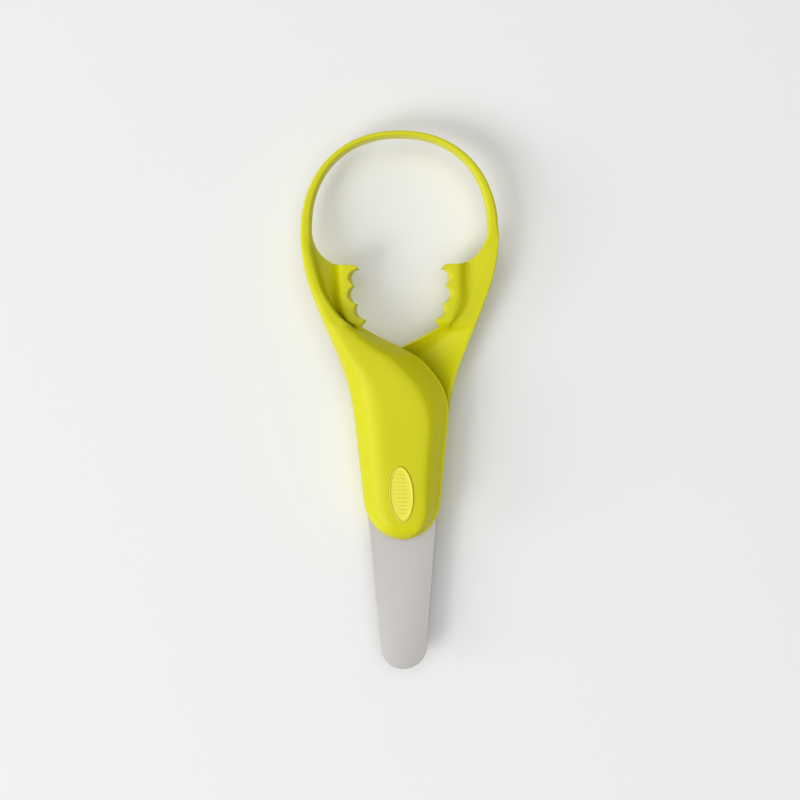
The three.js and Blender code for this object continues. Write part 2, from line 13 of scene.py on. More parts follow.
import bmesh
import bpy
import numpy as np
from mathutils import Euler, Matrix, Vector


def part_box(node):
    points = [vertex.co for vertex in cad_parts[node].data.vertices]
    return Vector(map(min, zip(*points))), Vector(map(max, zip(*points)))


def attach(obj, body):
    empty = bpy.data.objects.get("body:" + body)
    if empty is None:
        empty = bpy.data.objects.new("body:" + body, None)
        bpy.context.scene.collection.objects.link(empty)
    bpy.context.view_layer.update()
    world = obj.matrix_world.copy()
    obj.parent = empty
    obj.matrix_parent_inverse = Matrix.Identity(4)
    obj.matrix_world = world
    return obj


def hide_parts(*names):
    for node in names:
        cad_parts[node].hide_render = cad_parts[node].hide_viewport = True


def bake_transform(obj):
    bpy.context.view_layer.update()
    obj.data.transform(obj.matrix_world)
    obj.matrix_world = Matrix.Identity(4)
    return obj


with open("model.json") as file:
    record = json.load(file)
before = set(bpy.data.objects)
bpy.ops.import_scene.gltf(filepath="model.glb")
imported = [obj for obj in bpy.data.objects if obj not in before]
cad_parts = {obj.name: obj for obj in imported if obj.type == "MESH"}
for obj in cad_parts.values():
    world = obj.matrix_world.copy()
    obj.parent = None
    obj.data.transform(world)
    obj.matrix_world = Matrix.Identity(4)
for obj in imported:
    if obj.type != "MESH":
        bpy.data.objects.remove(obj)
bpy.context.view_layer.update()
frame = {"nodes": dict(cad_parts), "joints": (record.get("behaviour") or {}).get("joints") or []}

MM = 0.001
LOG = logging.getLogger("avocado_tool")
Place = tuple[float, float]
Colour = tuple[float, ...]


class Body(Enum):
    """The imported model's rigid bodies."""

    FRONT = "front_body"
    REAR = "rear_body"


class Slot(Enum):
    """The record's material slots."""

    LIME = "lime_nylon"
    BADGE = "badge_lime"
    BLADE = "blade_steel"
    SCREW = "screw_steel"
    BRASS = "insert_brass"
    ACETAL = "washer_acetal"


class Value:
    """A node's output that can be used in a sum. Each operator adds one Math node."""

    def __init__(self, graph: "Graph", socket: bpy.types.NodeSocket) -> None:
        """Wraps a socket.

        Args:
            graph: the graph that the socket belongs to.
            socket: the output to wrap.
        """
        self.graph = graph
        self.socket = socket

    def math(self, operation: str, *others: "Value | float", first: bool = True) -> "Value":
        """Adds a Math node.

        Args:
            operation: the Math node's operation.
            others: its other inputs.
            first: whether this value is the first input or the last.

        Returns:
            The node's output.
        """
        values = [self, *others] if first else [*others, self]
        node = self.graph.node("ShaderNodeMath", {"operation": operation}, dict(enumerate(values)))
        return Value(self.graph, node.outputs[0])

    def __add__(self, other: "Value | float") -> "Value":
        """The sum."""
        return self.math("ADD", other)

    def __radd__(self, other: float) -> "Value":
        """The sum, with a number in front."""
        return self.math("ADD", other)

    def __sub__(self, other: "Value | float") -> "Value":
        """The difference."""
        return self.math("SUBTRACT", other)

    def __rsub__(self, other: float) -> "Value":
        """A number less this value."""
        return self.math("SUBTRACT", other, first=False)

    def __mul__(self, other: "Value | float") -> "Value":
        """The product."""
        return self.math("MULTIPLY", other)

    def __rmul__(self, other: float) -> "Value":
        """The product, with a number in front."""
        return self.math("MULTIPLY", other)

    def __truediv__(self, other: "Value | float") -> "Value":
        """The quotient."""
        return self.math("DIVIDE", other)

    def __pow__(self, other: "Value | float") -> "Value":
        """The power."""
        return self.math("POWER", other)


class Graph:
    """Adds nodes to one node tree."""

    def __init__(self, tree: bpy.types.NodeTree) -> None:
        """Starts on an empty tree.

        Args:
            tree: the tree to fill, whose own nodes are removed.
        """
        self.tree = tree
        tree.nodes.clear()

    def node(self, kind: str, settings: dict | None = None, inputs: dict | None = None) -> bpy.types.Node:
        """Adds a node.

        Args:
            kind: the node's type.
            settings: its properties, set before its sockets.
            inputs: its sockets' values or links, by name or number.

        Returns:
            The node.
        """
        node = self.tree.nodes.new(kind)
        for name, value in (settings or {}).items():
            setattr(node, name, value)
        for key, value in (inputs or {}).items():
            socket = node.inputs[key]
            if isinstance(value, Value):
                value = value.socket
            if isinstance(value, bpy.types.NodeSocket):
                self.tree.links.new(value, socket)
            else:
                socket.default_value = value
        return node

    def value(
        self, kind: str, settings: dict | None = None, inputs: dict | None = None, output: int | str = 0
    ) -> Value:
        """Adds a node and gives one of its outputs.

        Args:
            kind: the node's type.
            settings: its properties.
            inputs: its sockets' values or links.
            output: the output's name or number.

        Returns:
            The output.
        """
        return Value(self, self.node(kind, settings, inputs).outputs[output])


class Surface:
    """A new material's graph, with its Principled shader and the patterns that the finishes share."""

    def __init__(self, name: str) -> None:
        """Makes the material.

        Args:
            name: the material's name.
        """
        self.material = bpy.data.materials.new(name)
        self.material.use_nodes = True
        self.graph = Graph(self.material.node_tree)
        self.shader = self.graph.node("ShaderNodeBsdfPrincipled")
        output = self.graph.node("ShaderNodeOutputMaterial", None, {"Surface": self.shader.outputs["BSDF"]})
        output.is_active_output = True
        self.place = self.graph.value("ShaderNodeTexCoord", output="Object")

    def constants(self, **values: float | Colour) -> None:
        """Sets the shader's own sockets, whose names are written with underscores."""
        for name, value in values.items():
            self.shader.inputs[name.replace("_", " ")].default_value = value

    def feed(self, socket: str, value: Value) -> None:
        """Links a varying value to one of the shader's sockets."""
        self.graph.tree.links.new(value.socket, self.shader.inputs[socket])

    def noise(self, grain_mm: float, detail: float = 2.0, stretch: tuple[float, ...] = (1, 1, 1)) -> Value:
        """A noise pattern.

        Args:
            grain_mm: the size of its grain.
            detail: how many finer layers it has.
            stretch: how much longer the grain is along each axis.

        Returns:
            The pattern, about 0.5.
        """
        scale = tuple(1 / (grain_mm * MM * s) for s in stretch)
        place = self.graph.value("ShaderNodeMapping", None, {"Vector": self.place, "Scale": scale}, "Vector")
        inputs = {"Vector": place, "Scale": 1.0, "Detail": detail, "Roughness": 0.55}
        return self.graph.value("ShaderNodeTexNoise", {"noise_dimensions": "3D"}, inputs, "Fac")

    def spread(self, value: Value, low: float, high: float, to_low: float, to_high: float) -> Value:
        """Maps a value's range onto another, without going past its ends."""
        inputs = {"Value": value, "From Min": low, "From Max": high, "To Min": to_low, "To Max": to_high}
        return self.graph.value("ShaderNodeMapRange", {"clamp": True}, inputs, "Result")

    def mix(self, share: Value, first: Colour | Value, second: Colour | Value) -> Value:
        """Mixes two colours."""
        inputs = {0: share, 6: first, 7: second}
        return self.graph.value("ShaderNodeMix", {"data_type": "RGBA"}, inputs, 2)

    def bump(
        self, height: Value, depth_mm: float, strength: float = 1.0, under: Value | None = None
    ) -> Value:
        """Turns a height into a normal.

        Args:
            height: the pattern.
            depth_mm: how deep the pattern is from 0 to 1.
            strength: how much of it shows.
            under: a normal that this one is laid on.

        Returns:
            The normal.
        """
        inputs = {"Height": height, "Distance": depth_mm * MM, "Strength": strength}
        if under is not None:
            inputs["Normal"] = under
        return self.graph.value("ShaderNodeBump", None, inputs, "Normal")


def srgb(*channels: int) -> Colour:
    """Turns a colour in display numbers into the shader's linear one.

    Args:
        channels: red, green and blue, from 0 to 255.

    Returns:
        The linear colour, opaque.
    """
    shares = [channel / 255 for channel in channels]
    return (*(s / 12.92 if s <= 0.04045 else ((s + 0.055) / 1.055) ** 2.4 for s in shares), 1.0)


@dataclass(frozen=True)
class MouldedPlastic:
    """Moulded plastic: a fine spark-eroded texture, faint flow in its colour, and a few hairline scratches.

    Attributes:
        name: the material's name.
        colour: its usual colour.
        deep: the colour where the pigment flowed thicker.
        roughness: its usual roughness.
        grain_mm: the texture's grain.
        grain_depth_mm: the texture's depth.
        flow_mm: how wide the pigment's streaks are.
        mottle_mm: how wide its mottles are.
        handled_mm: how wide the patches are that handling has polished.
        scratch_mm: how wide the scratches are.
        scratch_depth_mm: how deep they are.
        scratched_mm: how wide the scratched patches are.
        scatter: how much light goes under its skin.
        scatter_mm: how far it goes.
        shine: how much of the usual gloss it has.
    """

    name: str
    colour: Colour
    deep: Colour
    roughness: float = 0.42
    grain_mm: float = 0.35
    grain_depth_mm: float = 0.012
    flow_mm: float = 38.0
    mottle_mm: float = 2.4
    handled_mm: float = 14.0
    scratch_mm: float = 0.5
    scratch_depth_mm: float = 0.006
    scratched_mm: float = 16.0
    scatter: float = 0.06
    scatter_mm: float = 1.6
    shine: float = 0.25

    def make(self) -> bpy.types.Material:
        """Builds the material.

        Returns:
            The material.
        """
        surface = Surface(self.name)
        flow = surface.noise(self.flow_mm, 3, (1, 2.2, 1))
        mottle = surface.noise(self.mottle_mm, 2)
        tone = surface.spread(flow * 0.75 + mottle * 0.25, 0.36, 0.64, 0.0, 1.0)
        surface.feed("Base Color", surface.mix(tone, self.deep, self.colour))
        handled = surface.noise(self.handled_mm, 4)
        scratches = surface.spread(surface.noise(self.scratch_mm, 1, (1, 46, 9)), 0.69, 0.74, 0.0, 1.0)
        patches = surface.spread(surface.noise(self.scratched_mm, 2), 0.5, 0.62, 0.0, 1.0)
        worn = scratches * patches
        rough = surface.spread(handled, 0.3, 0.7, self.roughness - 0.05, self.roughness + 0.06)
        surface.feed("Roughness", rough + worn * 0.08)
        grain = surface.bump(surface.noise(self.grain_mm, 2), self.grain_depth_mm)
        surface.feed("Normal", surface.bump(1 - worn, self.scratch_depth_mm, 0.6, grain))
        surface.constants(
            Subsurface_Weight=self.scatter,
            Subsurface_Radius=(1.0, 1.0, 0.25),
            Subsurface_Scale=self.scatter_mm * MM,
            IOR=1.5,
            Specular_IOR_Level=self.shine,
        )
        return surface.material


@dataclass(frozen=True)
class WorkedMetal:
    """Metal with fine lines from its last working and a slight haze.

    Attributes:
        name: the material's name.
        colour: its colour.
        roughness: its usual roughness.
        line_mm: the width of its lines.
        stretch: how much longer the lines are along each axis.
        line_depth_mm: how deep they are.
        haze_mm: how wide the haze's patches are.
        dulled: how dark the colour is in the haze.
    """

    name: str
    colour: Colour
    roughness: float = 0.36
    line_mm: float = 0.16
    stretch: tuple[float, ...] = (1, 150, 1)
    line_depth_mm: float = 0.002
    haze_mm: float = 22.0
    dulled: float = 0.93

    def make(self) -> bpy.types.Material:
        """Builds the material.

        Returns:
            The material.
        """
        surface = Surface(self.name)
        lines = surface.noise(self.line_mm, 3, self.stretch)
        haze = surface.noise(self.haze_mm, 3)
        tone = surface.spread(haze * 0.6 + lines * 0.4, 0.35, 0.65, 0.0, 1.0)
        dull = (*(c * self.dulled for c in self.colour[:3]), 1.0)
        surface.feed("Base Color", surface.mix(tone, dull, self.colour))
        rough = surface.spread(haze, 0.3, 0.7, self.roughness - 0.03, self.roughness + 0.05)
        surface.feed("Roughness", rough + (lines - 0.5) * 0.12)
        surface.feed("Normal", surface.bump(lines, self.line_depth_mm, 0.8))
        surface.constants(Metallic=1.0)
        return surface.material


@dataclass(frozen=True)
class Finishes:
    """Every finish on the tool, made once."""

    lime: bpy.types.Material
    badge: bpy.types.Material
    blade: bpy.types.Material
    screw: bpy.types.Material
    brass: bpy.types.Material
    acetal: bpy.types.Material

    @classmethod
    def make(cls) -> "Finishes":
        """Builds the materials.

        Returns:
            The finishes.
        """
        turned = {"line_mm": 0.1, "stretch": (12, 12, 1)}
        bright, deep = srgb(238, 232, 92), srgb(232, 227, 70)
        plain, pale = srgb(232, 230, 224), srgb(226, 223, 214)
        return cls(
            lime=MouldedPlastic("lime nylon", srgb(214, 210, 8), srgb(206, 205, 2)).make(),
            badge=MouldedPlastic("badge lime", bright, deep, 0.3, 0.6, 0.004).make(),
            blade=WorkedMetal("blade steel", (0.49, 0.468, 0.452, 1.0), 0.42).make(),
            screw=WorkedMetal("turned steel", (0.5, 0.5, 0.52, 1.0), 0.28, **turned).make(),
            brass=WorkedMetal("insert brass", (0.72, 0.5, 0.18, 1.0), 0.3, **turned).make(),
            acetal=MouldedPlastic("washer acetal", plain, pale, 0.36, 0.3, 0.006).make(),
        )


@dataclass(frozen=True)
class Layout:
    """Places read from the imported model, in millimetres, and its hinge's range.

    Attributes:
        mid: the height of the plane where the mouldings meet.
        pivot: how far along the tool the hinge is.
        squeeze: how far the hinge turns, in radians.
        blade_low: the blade's lowest corner.
        blade_high: its highest corner.
        badge_low: the badge's lowest corner.
        badge_high: its highest corner.
    """

    mid: float
    pivot: float
    squeeze: float
    blade_low: Vector
    blade_high: Vector
    badge_low: Vector
    badge_high: Vector

    @classmethod
    def read(cls) -> "Layout":
        """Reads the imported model.

        Returns:
            Its layout.
        """
        joint = frame["joints"][0]
        corners = [corner / MM for node in ("blade", "badge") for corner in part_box(node)]
        place = joint["pos_m"]
        return cls(place[2] / MM, place[1] / MM, math.radians(joint["range_deg"][1]), *corners)


@dataclass(frozen=True)
class Track:
    """A smooth curve through (place, value) knots that never overshoots them."""

    knots: tuple[Place, ...]

    def __call__(self, place: float) -> float:
        """Follows the curve.

        Args:
            place: where on it to look.

        Returns:
            Its value there.
        """
        knots = self.knots
        if place <= knots[0][0]:
            return knots[0][1]
        if place >= knots[-1][0]:
            return knots[-1][1]
        i = max(k for k, knot in enumerate(knots) if knot[0] <= place)
        (x0, v0), (x1, v1) = knots[i], knots[i + 1]
        t = (place - x0) / (x1 - x0)
        lean = t * (1 - t) * (x1 - x0) * ((1 - t) * self._slope(i) - t * self._slope(i + 1))
        return (1 + 2 * t) * (1 - t) ** 2 * v0 + t * t * (3 - 2 * t) * v1 + lean

    def _slope(self, i: int) -> float:
        """Works out a knot's slope: the harmonic mean of the two beside it, or none at a peak.

        Args:
            i: the knot's number.

        Returns:
            Its slope.
        """
        slopes = [
            (self.knots[k + 1][1] - self.knots[k][1]) / (self.knots[k + 1][0] - self.knots[k][0])
            for k in range(max(0, i - 1), min(len(self.knots) - 1, i + 1))
        ]
        if len(slopes) == 1:
            return slopes[0]
        before, after = slopes
        return 0.0 if before * after <= 0 else 2 * before * after / (before + after)


def smoothstep(value: float, low: float, high: float) -> float:
    """Rises smoothly from 0 at low to 1 at high."""
    t = min(max((value - low) / (high - low), 0.0), 1.0)
    return t * t * (3 - 2 * t)


def mix(first: float, second: float, share: float) -> float:
    """Goes from the first value to the second by a share."""
    return first + (second - first) * share


def mesh_object(
    name: str, vertices: np.ndarray, faces: list[tuple[int, ...]], edges: tuple[tuple[int, int], ...] = ()
) -> bpy.types.Object:
    """Makes an object from points in millimetres.

    Args:
        name: the object's name.
        vertices: its points.
        faces: its faces, as point numbers.
        edges: its loose edges, as point numbers.

    Returns:
        The object, at the origin.
    """
    mesh = bpy.data.meshes.new(name)
    mesh.from_pydata((np.asarray(vertices) * MM).tolist(), list(edges), faces)
    made = bpy.data.objects.new(name, mesh)
    bpy.context.scene.collection.objects.link(made)
    return made


def between(rings: int, sides: int) -> list[tuple[int, ...]]:
    """The faces between rings of points that follow one another.

    Args:
        rings: how many rings there are.
        sides: how many points each has.

    Returns:
        The faces, as point numbers.
    """
    faces = []
    for r in range(rings - 1):
        for i in range(sides):
            a, b = r * sides + i, r * sides + (i + 1) % sides
            faces.append((a, b, b + sides, a + sides))
    return faces


def stacked(name: str, rings: list[tuple[np.ndarray, float]]) -> bpy.types.Object:
    """Makes a closed solid through level outlines with equally many points.

    Args:
        name: the object's name.
        rings: each outline's points and its height, from the bottom up.

    Returns:
        The solid.
    """
    sides, count = len(rings[0][0]), len(rings)
    vertices = np.vstack([np.column_stack([ring, np.full(sides, height)]) for ring, height in rings])
    caps = [tuple(reversed(range(sides))), tuple(range((count - 1) * sides, count * sides))]
    return mesh_object(name, vertices, between(count, sides) + caps)


def unit_circle(sides: int) -> np.ndarray:
    """Points round a circle with a radius of one."""
    angles = np.linspace(0, 2 * math.pi, sides, endpoint=False)
    return np.column_stack([np.cos(angles), np.sin(angles)])


def post(radius: float, y: float, bottom: float, top: float, sides: int = 48) -> bpy.types.Object:
    """Makes an upright closed cylinder on the tool's middle line.

    Args:
        radius: its radius.
        y: how far along the tool it stands.
        bottom: its lower height.
        top: its upper height.
        sides: how many sides it has.

    Returns:
        The cylinder.
    """
    ring = unit_circle(sides) * radius + [0, y]
    return stacked("post", [(ring, bottom), (ring, top)])


def block(low: tuple[float, float, float], high: tuple[float, float, float]) -> bpy.types.Object:
    """Makes a closed box.

    Args:
        low: its lowest corner.
        high: its highest corner.

    Returns:
        The box.
    """
    ring = np.array([(low[0], low[1]), (high[0], low[1]), (high[0], high[1]), (low[0], high[1])], float)
    return stacked("block", [(ring, low[2]), (ring, high[2])])


def settle(made: bpy.types.Object, merge_mm: float = 0.002) -> None:
    """Merges an object's doubles and turns its faces outwards.

    Args:
        made: the object.
        merge_mm: how close doubles are.
    """
    work = bmesh.new()
    work.from_mesh(made.data)
    bmesh.ops.remove_doubles(work, verts=work.verts, dist=merge_mm * MM)
    bmesh.ops.dissolve_degenerate(work, edges=work.edges, dist=merge_mm * MM * 0.5)
    bmesh.ops.recalc_face_normals(work, faces=work.faces)
    if work.calc_volume(signed=True) < 0:
        bmesh.ops.reverse_faces(work, faces=work.faces)
    work.to_mesh(made.data)
    work.free()


def smooth(made: bpy.types.Object, sharp_degrees: float) -> None:
    """Shades an object smoothly, apart from its sharp edges."""
    made.data.shade_smooth()
    made.data.set_sharp_from_angle(angle=math.radians(sharp_degrees))


def shift(made: bpy.types.Object, x: float, y: float, z: float) -> None:
    """Moves an object's mesh, in millimetres."""
    made.data.transform(Matrix.Translation(Vector((x, y, z)) * MM))


def harden(made: bpy.types.Object) -> None:
    """Turns an object's modifiers into its mesh.

    Args:
        made: the object.
    """
    evaluated = made.evaluated_get(bpy.context.evaluated_depsgraph_get())
    mesh = bpy.data.meshes.new_from_object(evaluated)
    made.modifiers.clear()
    made.data = mesh


def carve(made: bpy.types.Object, added: list[bpy.types.Object], taken: list[bpy.types.Object]) -> None:
    """Joins solids to an object and cuts others out of it.

    Args:
        made: the object.
        added: the solids to join to it.
        taken: the solids to cut out of it.
    """
    for operation, tools in (("UNION", added), ("DIFFERENCE", taken)):
        for tool in tools:
            modifier = made.modifiers.new("cut", "BOOLEAN")
            modifier.operation = operation
            modifier.solver = "EXACT"
            modifier.object = tool
    harden(made)
    for tool in (*added, *taken):
        bpy.data.objects.remove(tool)


def dress(made: bpy.types.Object, material: bpy.types.Material) -> None:
    """Gives an object one material all over.

    Args:
        made: the object.
        material: its finish.
    """
    made.data.materials.clear()
    made.data.materials.append(material)
    made.data.polygons.foreach_set("material_index", [0] * len(made.data.polygons))


def report(made: bpy.types.Object) -> None:
    """Logs a finished piece."""
    LOG.info("%s: %d faces", made.name, len(made.data.polygons))


@dataclass(frozen=True)
class Oval:
    """One outline of the loop: a full oval about the tool's middle line."""

    centre: float
    half_width: float
    height: float
    power: float = 2.2

    def across(self, y: float) -> float:
        """The half-width at a place along the tool."""
        return self.half_width * (1 - ((y - self.centre) / self.height) ** self.power) ** (1 / self.power)

    def point(self, foot: float, share: float) -> np.ndarray:
        """Finds a point on the part of the oval that lies above its feet.

        Args:
            foot: how far along the tool the feet are.
            share: 0 at the left foot, 0.5 at the crown and 1 at the right foot.

        Returns:
            The point.
        """
        start = math.asin(((foot - self.centre) / self.height) ** (self.power / 2))
        angle = start + (math.pi - 2 * start) * share
        along = self.height * math.sin(angle) ** (2 / self.power)
        across = self.half_width * abs(math.cos(angle)) ** (2 / self.power)
        return np.array([-math.copysign(across, math.cos(angle)), self.centre + along, 0.0])


ARM_END = 79.0  # how far along the tool the arms turn into the loop
LOOP_OUTER = Oval(71.5, 43.26, 45.95)
LOOP_INNER = Oval(75.0, 38.4, 40.1)
STRIP_HALF_DEPTH = 5.0
STRIP_POWER = 4.0  # how square the strip's section is


@dataclass(frozen=True)
class Row:
    """One section's place on the moulding: from the outer outline to the free edge.

    Attributes:
        y: how far along the tool its outer end is.
        outer: its outer end.
        inner: its inner end, on the free edge.
        bevel: how wide the bevel at the free edge is.
        thin: how far the free edge is thinned to a tooth's, from 0 to 1.
    """

    y: float
    outer: Place
    inner: Place
    bevel: float
    thin: float

    @property
    def width(self) -> float:
        """The distance from the outline to the free edge."""
        return math.dist(self.outer, self.inner)


@dataclass(frozen=True)
class Moulding:
    """One of the two like mouldings, in the front one's place: cover, arm and toothed jaw.

    It is a skin over sections that run from the outer outline to the free edge. A section is a list of
    corners, each with its distance from the outline, its height and its radius.
    """

    parting: float = 0.15
    wall: float = 2.4
    handle_end: float = -60.6
    end_round: float = 16.6
    end_turn: float = 0.992
    crossing_start: float = -8.0
    jaw_start: float = 32.2
    jaw_corner: Place = (-16.8, 32.2)
    tooth_tips: tuple[Place, ...] = ((-14.8, 35.3), (-18.5, 42.1), (-19.7, 50.0), (-17.7, 57.5))
    first_side: float = 4.2
    scallop_length: float = 13.0
    scallop_depths: tuple[float, ...] = (2.0, 2.4, 2.4)
    jaw_top: float = 59.1
    top_length: float = 5.0
    top_run: float = 2.6
    hole_centre: Place = (-24.0, 75.0)
    hole_size: Place = (14.4, 15.8)
    hole_start: float = 58.8
    hole_rows: int = 34
    strip_start: float = 75.5
    tooth_edge: float = 0.35
    tooth_bevel: float = 1.5
    plain_bevel: float = 0.5
    rim_half_thickness: float = 5.0
    rim_slope: float = 3.4
    web_top: float = -0.8
    web_bottom: float = -2.0
    corner_points: int = 6
    plateau_points: int = 9
    plateaus: tuple[int, int] = (2, 11)
    row_step: float = 0.75

    outline: Track = Track((
        (-60.6, 16), (-47, 16.5), (-41, 17.1), (-20, 19.2), (-9.8, 20.3), (0.7, 21.8), (11.2, 24.5),
        (21.7, 28.4), (32.2, 32.8), (42.7, 37), (50.5, 39.8), (58.4, 41.8), (66.3, 43), (71.5, 43.3),
        (79, 42.86),
    ))
    crossing: Track = Track((
        (-8, 20.5), (-4.6, 20.6), (1, 19.8), (6, 18), (11, 14.9), (15.4, 11.2), (19.2, 6.9), (23.2, 0),
        (27.4, -8.5), (32.2, -16.8),
    ))
    rim: Track = Track(((32.2, -22.8), (37, -24), (46, -26), (57, -26), (79, -26)))
    crest: Track = Track((
        (-60.6, 4.6), (-59.6, 7), (-58, 9.6), (-55.6, 11.7), (-52, 12.5), (6, 12.5), (18, 12.2), (30, 11.2),
        (45, 9.4), (60, 7.4), (72, 5.8), (79, 5),
    ))
    side: Track = Track(((-60.6, 3.4), (-50, 4.5), (10, 4.5), (22, 5.6), (32, 6.8)))
    shoulder: Track = Track(((30, 4.4), (42, 2.8), (55, 1.6), (79, 1.6)))
    edge: Track = Track(((-60.6, 3.4), (-50, 4.5), (0, 4.3), (20, 3.6), (32, 3.3)))
    hollow: Track = Track((
        (-60.6, 0.25), (-58.2, 0.25), (-57, 5), (-54, 8.8), (-49, 10), (6, 10), (14, 8.8), (22, 5.4),
        (32, 0.6),
    ))
    left_flank: Track = Track((
        (-60.6, 3), (-52.7, 5), (-42, 7), (-4, 7.8), (7.4, 7), (18.4, 4.2), (32, 2.4),
    ))
    right_flank: Track = Track((
        (-60.6, 3), (-54.5, 5), (-42, 7.6), (-31, 8.4), (-13, 8.9), (-7, 10), (0.4, 11.8), (8.5, 13.3),
        (14.8, 14.1), (21, 14.2), (27.9, 9.8), (32, 6),
    ))
    band: Track = Track((
        (30, 14), (32.6, 12.2), (34.2, 10.6), (37.9, 8.7), (42.9, 7), (49.3, 6.1), (56.7, 5.8), (63.5, 5.6),
        (79, 4.6),
    ))
    arm_bottom: Track = Track(((28, 0), (34, -1.4), (45, -2.2), (60, -3.2), (79, -5)))

    def half_width(self, y: float) -> float:
        """The outline's half-width, with the handle's round end."""
        into = max(0.0, self.handle_end + self.end_round - y) / self.end_round
        return self.outline(y) * math.sqrt(max(0.0, 1 - into * into))

    def row(self, y: float, inner: Place, bevel: float = 0.6, thin: float = 0.0) -> Row:
        """A row whose outer end lies on the outline."""
        return Row(y, (-self.half_width(y), y), inner, bevel, thin)

    def shares(self, length: float) -> np.ndarray:
        """Evenly spaced shares of a stretch, without its end."""
        return np.linspace(0, 1, max(3, round(length / self.row_step)), endpoint=False)

    def cover_rows(self) -> list[Row]:
        """Places the sections from the handle's round end to the jaw, over the crossing.

        Returns:
            The rows.
        """
        straight = self.handle_end + self.end_round
        plain, crossed = self.crossing_start - straight, self.jaw_start - self.crossing_start
        turns = 0.5 * math.pi * self.end_turn * (1 - self.shares(self.end_round * 1.4))
        ys = [self.handle_end + self.end_round * (1 - math.sin(turn)) for turn in turns]
        ys += [straight + plain * share for share in self.shares(plain * 0.5)]
        made = [self.row(y, (self.half_width(y), y)) for y in ys]
        ys = [self.crossing_start + crossed * share**0.75 for share in self.shares(crossed * 1.3)]
        return made + [self.row(y, (self.crossing(y), y)) for y in ys]

    def tooth_rows(self) -> list[Row]:
        """Places the sections along the toothed edge.

        Returns:
            The rows.
        """
        made = []
        plain = self.plain_bevel
        corner, tip = np.array(self.jaw_corner), np.array(self.tooth_tips[0])
        for share in self.shares(self.first_side):
            x, y = corner + (tip - corner) * share
            made.append(self.row(y, (x, y), 0.8 - 0.3 * share, 0.5 + 0.5 * share))
        for tip, following, depth in zip(self.tooth_tips, self.tooth_tips[1:], self.scallop_depths):
            for share in self.shares(self.scallop_length):
                bevel = plain + (self.tooth_bevel - plain) * math.sin(math.pi * share)
                y = mix(tip[1], following[1], share)
                made.append(self.row(y, self.scallop(tip, following, depth, share), bevel, 1.0))
        x, y = self.tooth_tips[-1]
        for share in self.shares(self.top_length):
            inner = (x - self.top_run * share, mix(y, self.jaw_top, math.sin(0.5 * math.pi * share)))
            made.append(self.row(y + share, inner, plain, 1.0 - 0.7 * share))
        return made

    def opening_rows(self) -> list[Row]:
        """Places the sections round the loop opening's lower corner and on up to the loop.

        Returns:
            The rows.
        """
        made = []
        (x, y), (across, along) = self.hole_centre, self.hole_size
        for i in range(self.hole_rows + 1):
            share = i / self.hole_rows
            angle = 0.5 * math.pi * (1 - share)
            inner = (x - across * math.cos(angle), y - along * math.sin(angle))
            made.append(self.row(mix(self.hole_start, self.strip_start, share**1.3), inner))
        for share in np.linspace(0.25, 1, 6):
            level = mix(self.strip_start, ARM_END, share)
            made.append(self.row(level, (-LOOP_INNER.across(level), level)))
        return made

    @staticmethod
    def scallop(tip: Place, following: Place, depth: float, share: float) -> Place:
        """Finds a point on the arc that bites into the jaw between two tooth tips.

        Args:
            tip: the arc's first end.
            following: its other end.
            depth: how deep it bites.
            share: how far along it the point is.

        Returns:
            The point.
        """
        (x0, y0), (x1, y1) = tip, following
        chord = math.dist(tip, following)
        radius = (chord * chord / 4 + depth * depth) / (2 * depth)
        bite = math.sqrt(radius * radius - (chord * (share - 0.5)) ** 2) - (radius - depth)
        out_x, out_y = -(y1 - y0) / chord, (x1 - x0) / chord
        return mix(x0, x1, share) + out_x * bite, mix(y0, y1, share) + out_y * bite

    def handle_keys(self, y: float, width: float) -> np.ndarray:
        """Works out the cover's section. Towards the crossing, the cover opens into a bowl.

        Args:
            y: how far along the tool it is.
            width: its width.

        Returns:
            Its corners.
        """
        top, side, edge, roof = self.crest(y), self.side(y), self.edge(y), self.hollow(y)
        left = min(self.left_flank(y), 0.34 * width)
        right = width - min(self.right_flank(y), 0.46 * width)
        wall, lip = min(self.wall, 0.25 * width), min(0.5, 0.08 * width)
        roof_right = min(max(right - 0.6, 0.56 * width), width - wall - 2 * lip)
        roof_left = max(min(left + 0.6, 0.44 * width), wall + 2 * lip)
        opened = smoothstep(y, -16, 6)
        rim = mix(wall, min(1.5, wall), opened)
        left_at = mix(wall + lip, 0.2 * width, opened)
        left_height = mix(min(side - 1.2, roof), 0.42 * roof + 0.1, opened)
        right_at = mix(width - wall - lip, 0.86 * width, opened)
        right_height = mix(min(edge - 1.2, roof), 0.4 * roof + 0.1, opened)
        under = [
            (width - rim, self.parting, 0.5),
            (right_at, right_height, 2.5),
            (mix(roof_right, 0.62 * width, opened), roof, 3.5),
            (mix(roof_left, 0.48 * width, opened), roof, 3.5),
            (left_at, left_height, 2.5),
            (rim, self.parting, 0.5),
        ]
        flank = [
            (mix(right, width - 1.1, share), mix(top, edge, share**1.35), 4.0) for share in (0.34, 0.68)
        ]
        return np.array([
            (0, self.parting, 0.3), (0.4, side, 3.0), (left, top, 5.0), (right, top, 7.0), *flank,
            (width - 1.0, edge, 0.35), (width - 0.05, edge - 0.2, 0.25), (width, self.parting, 0.3), *under,
        ])

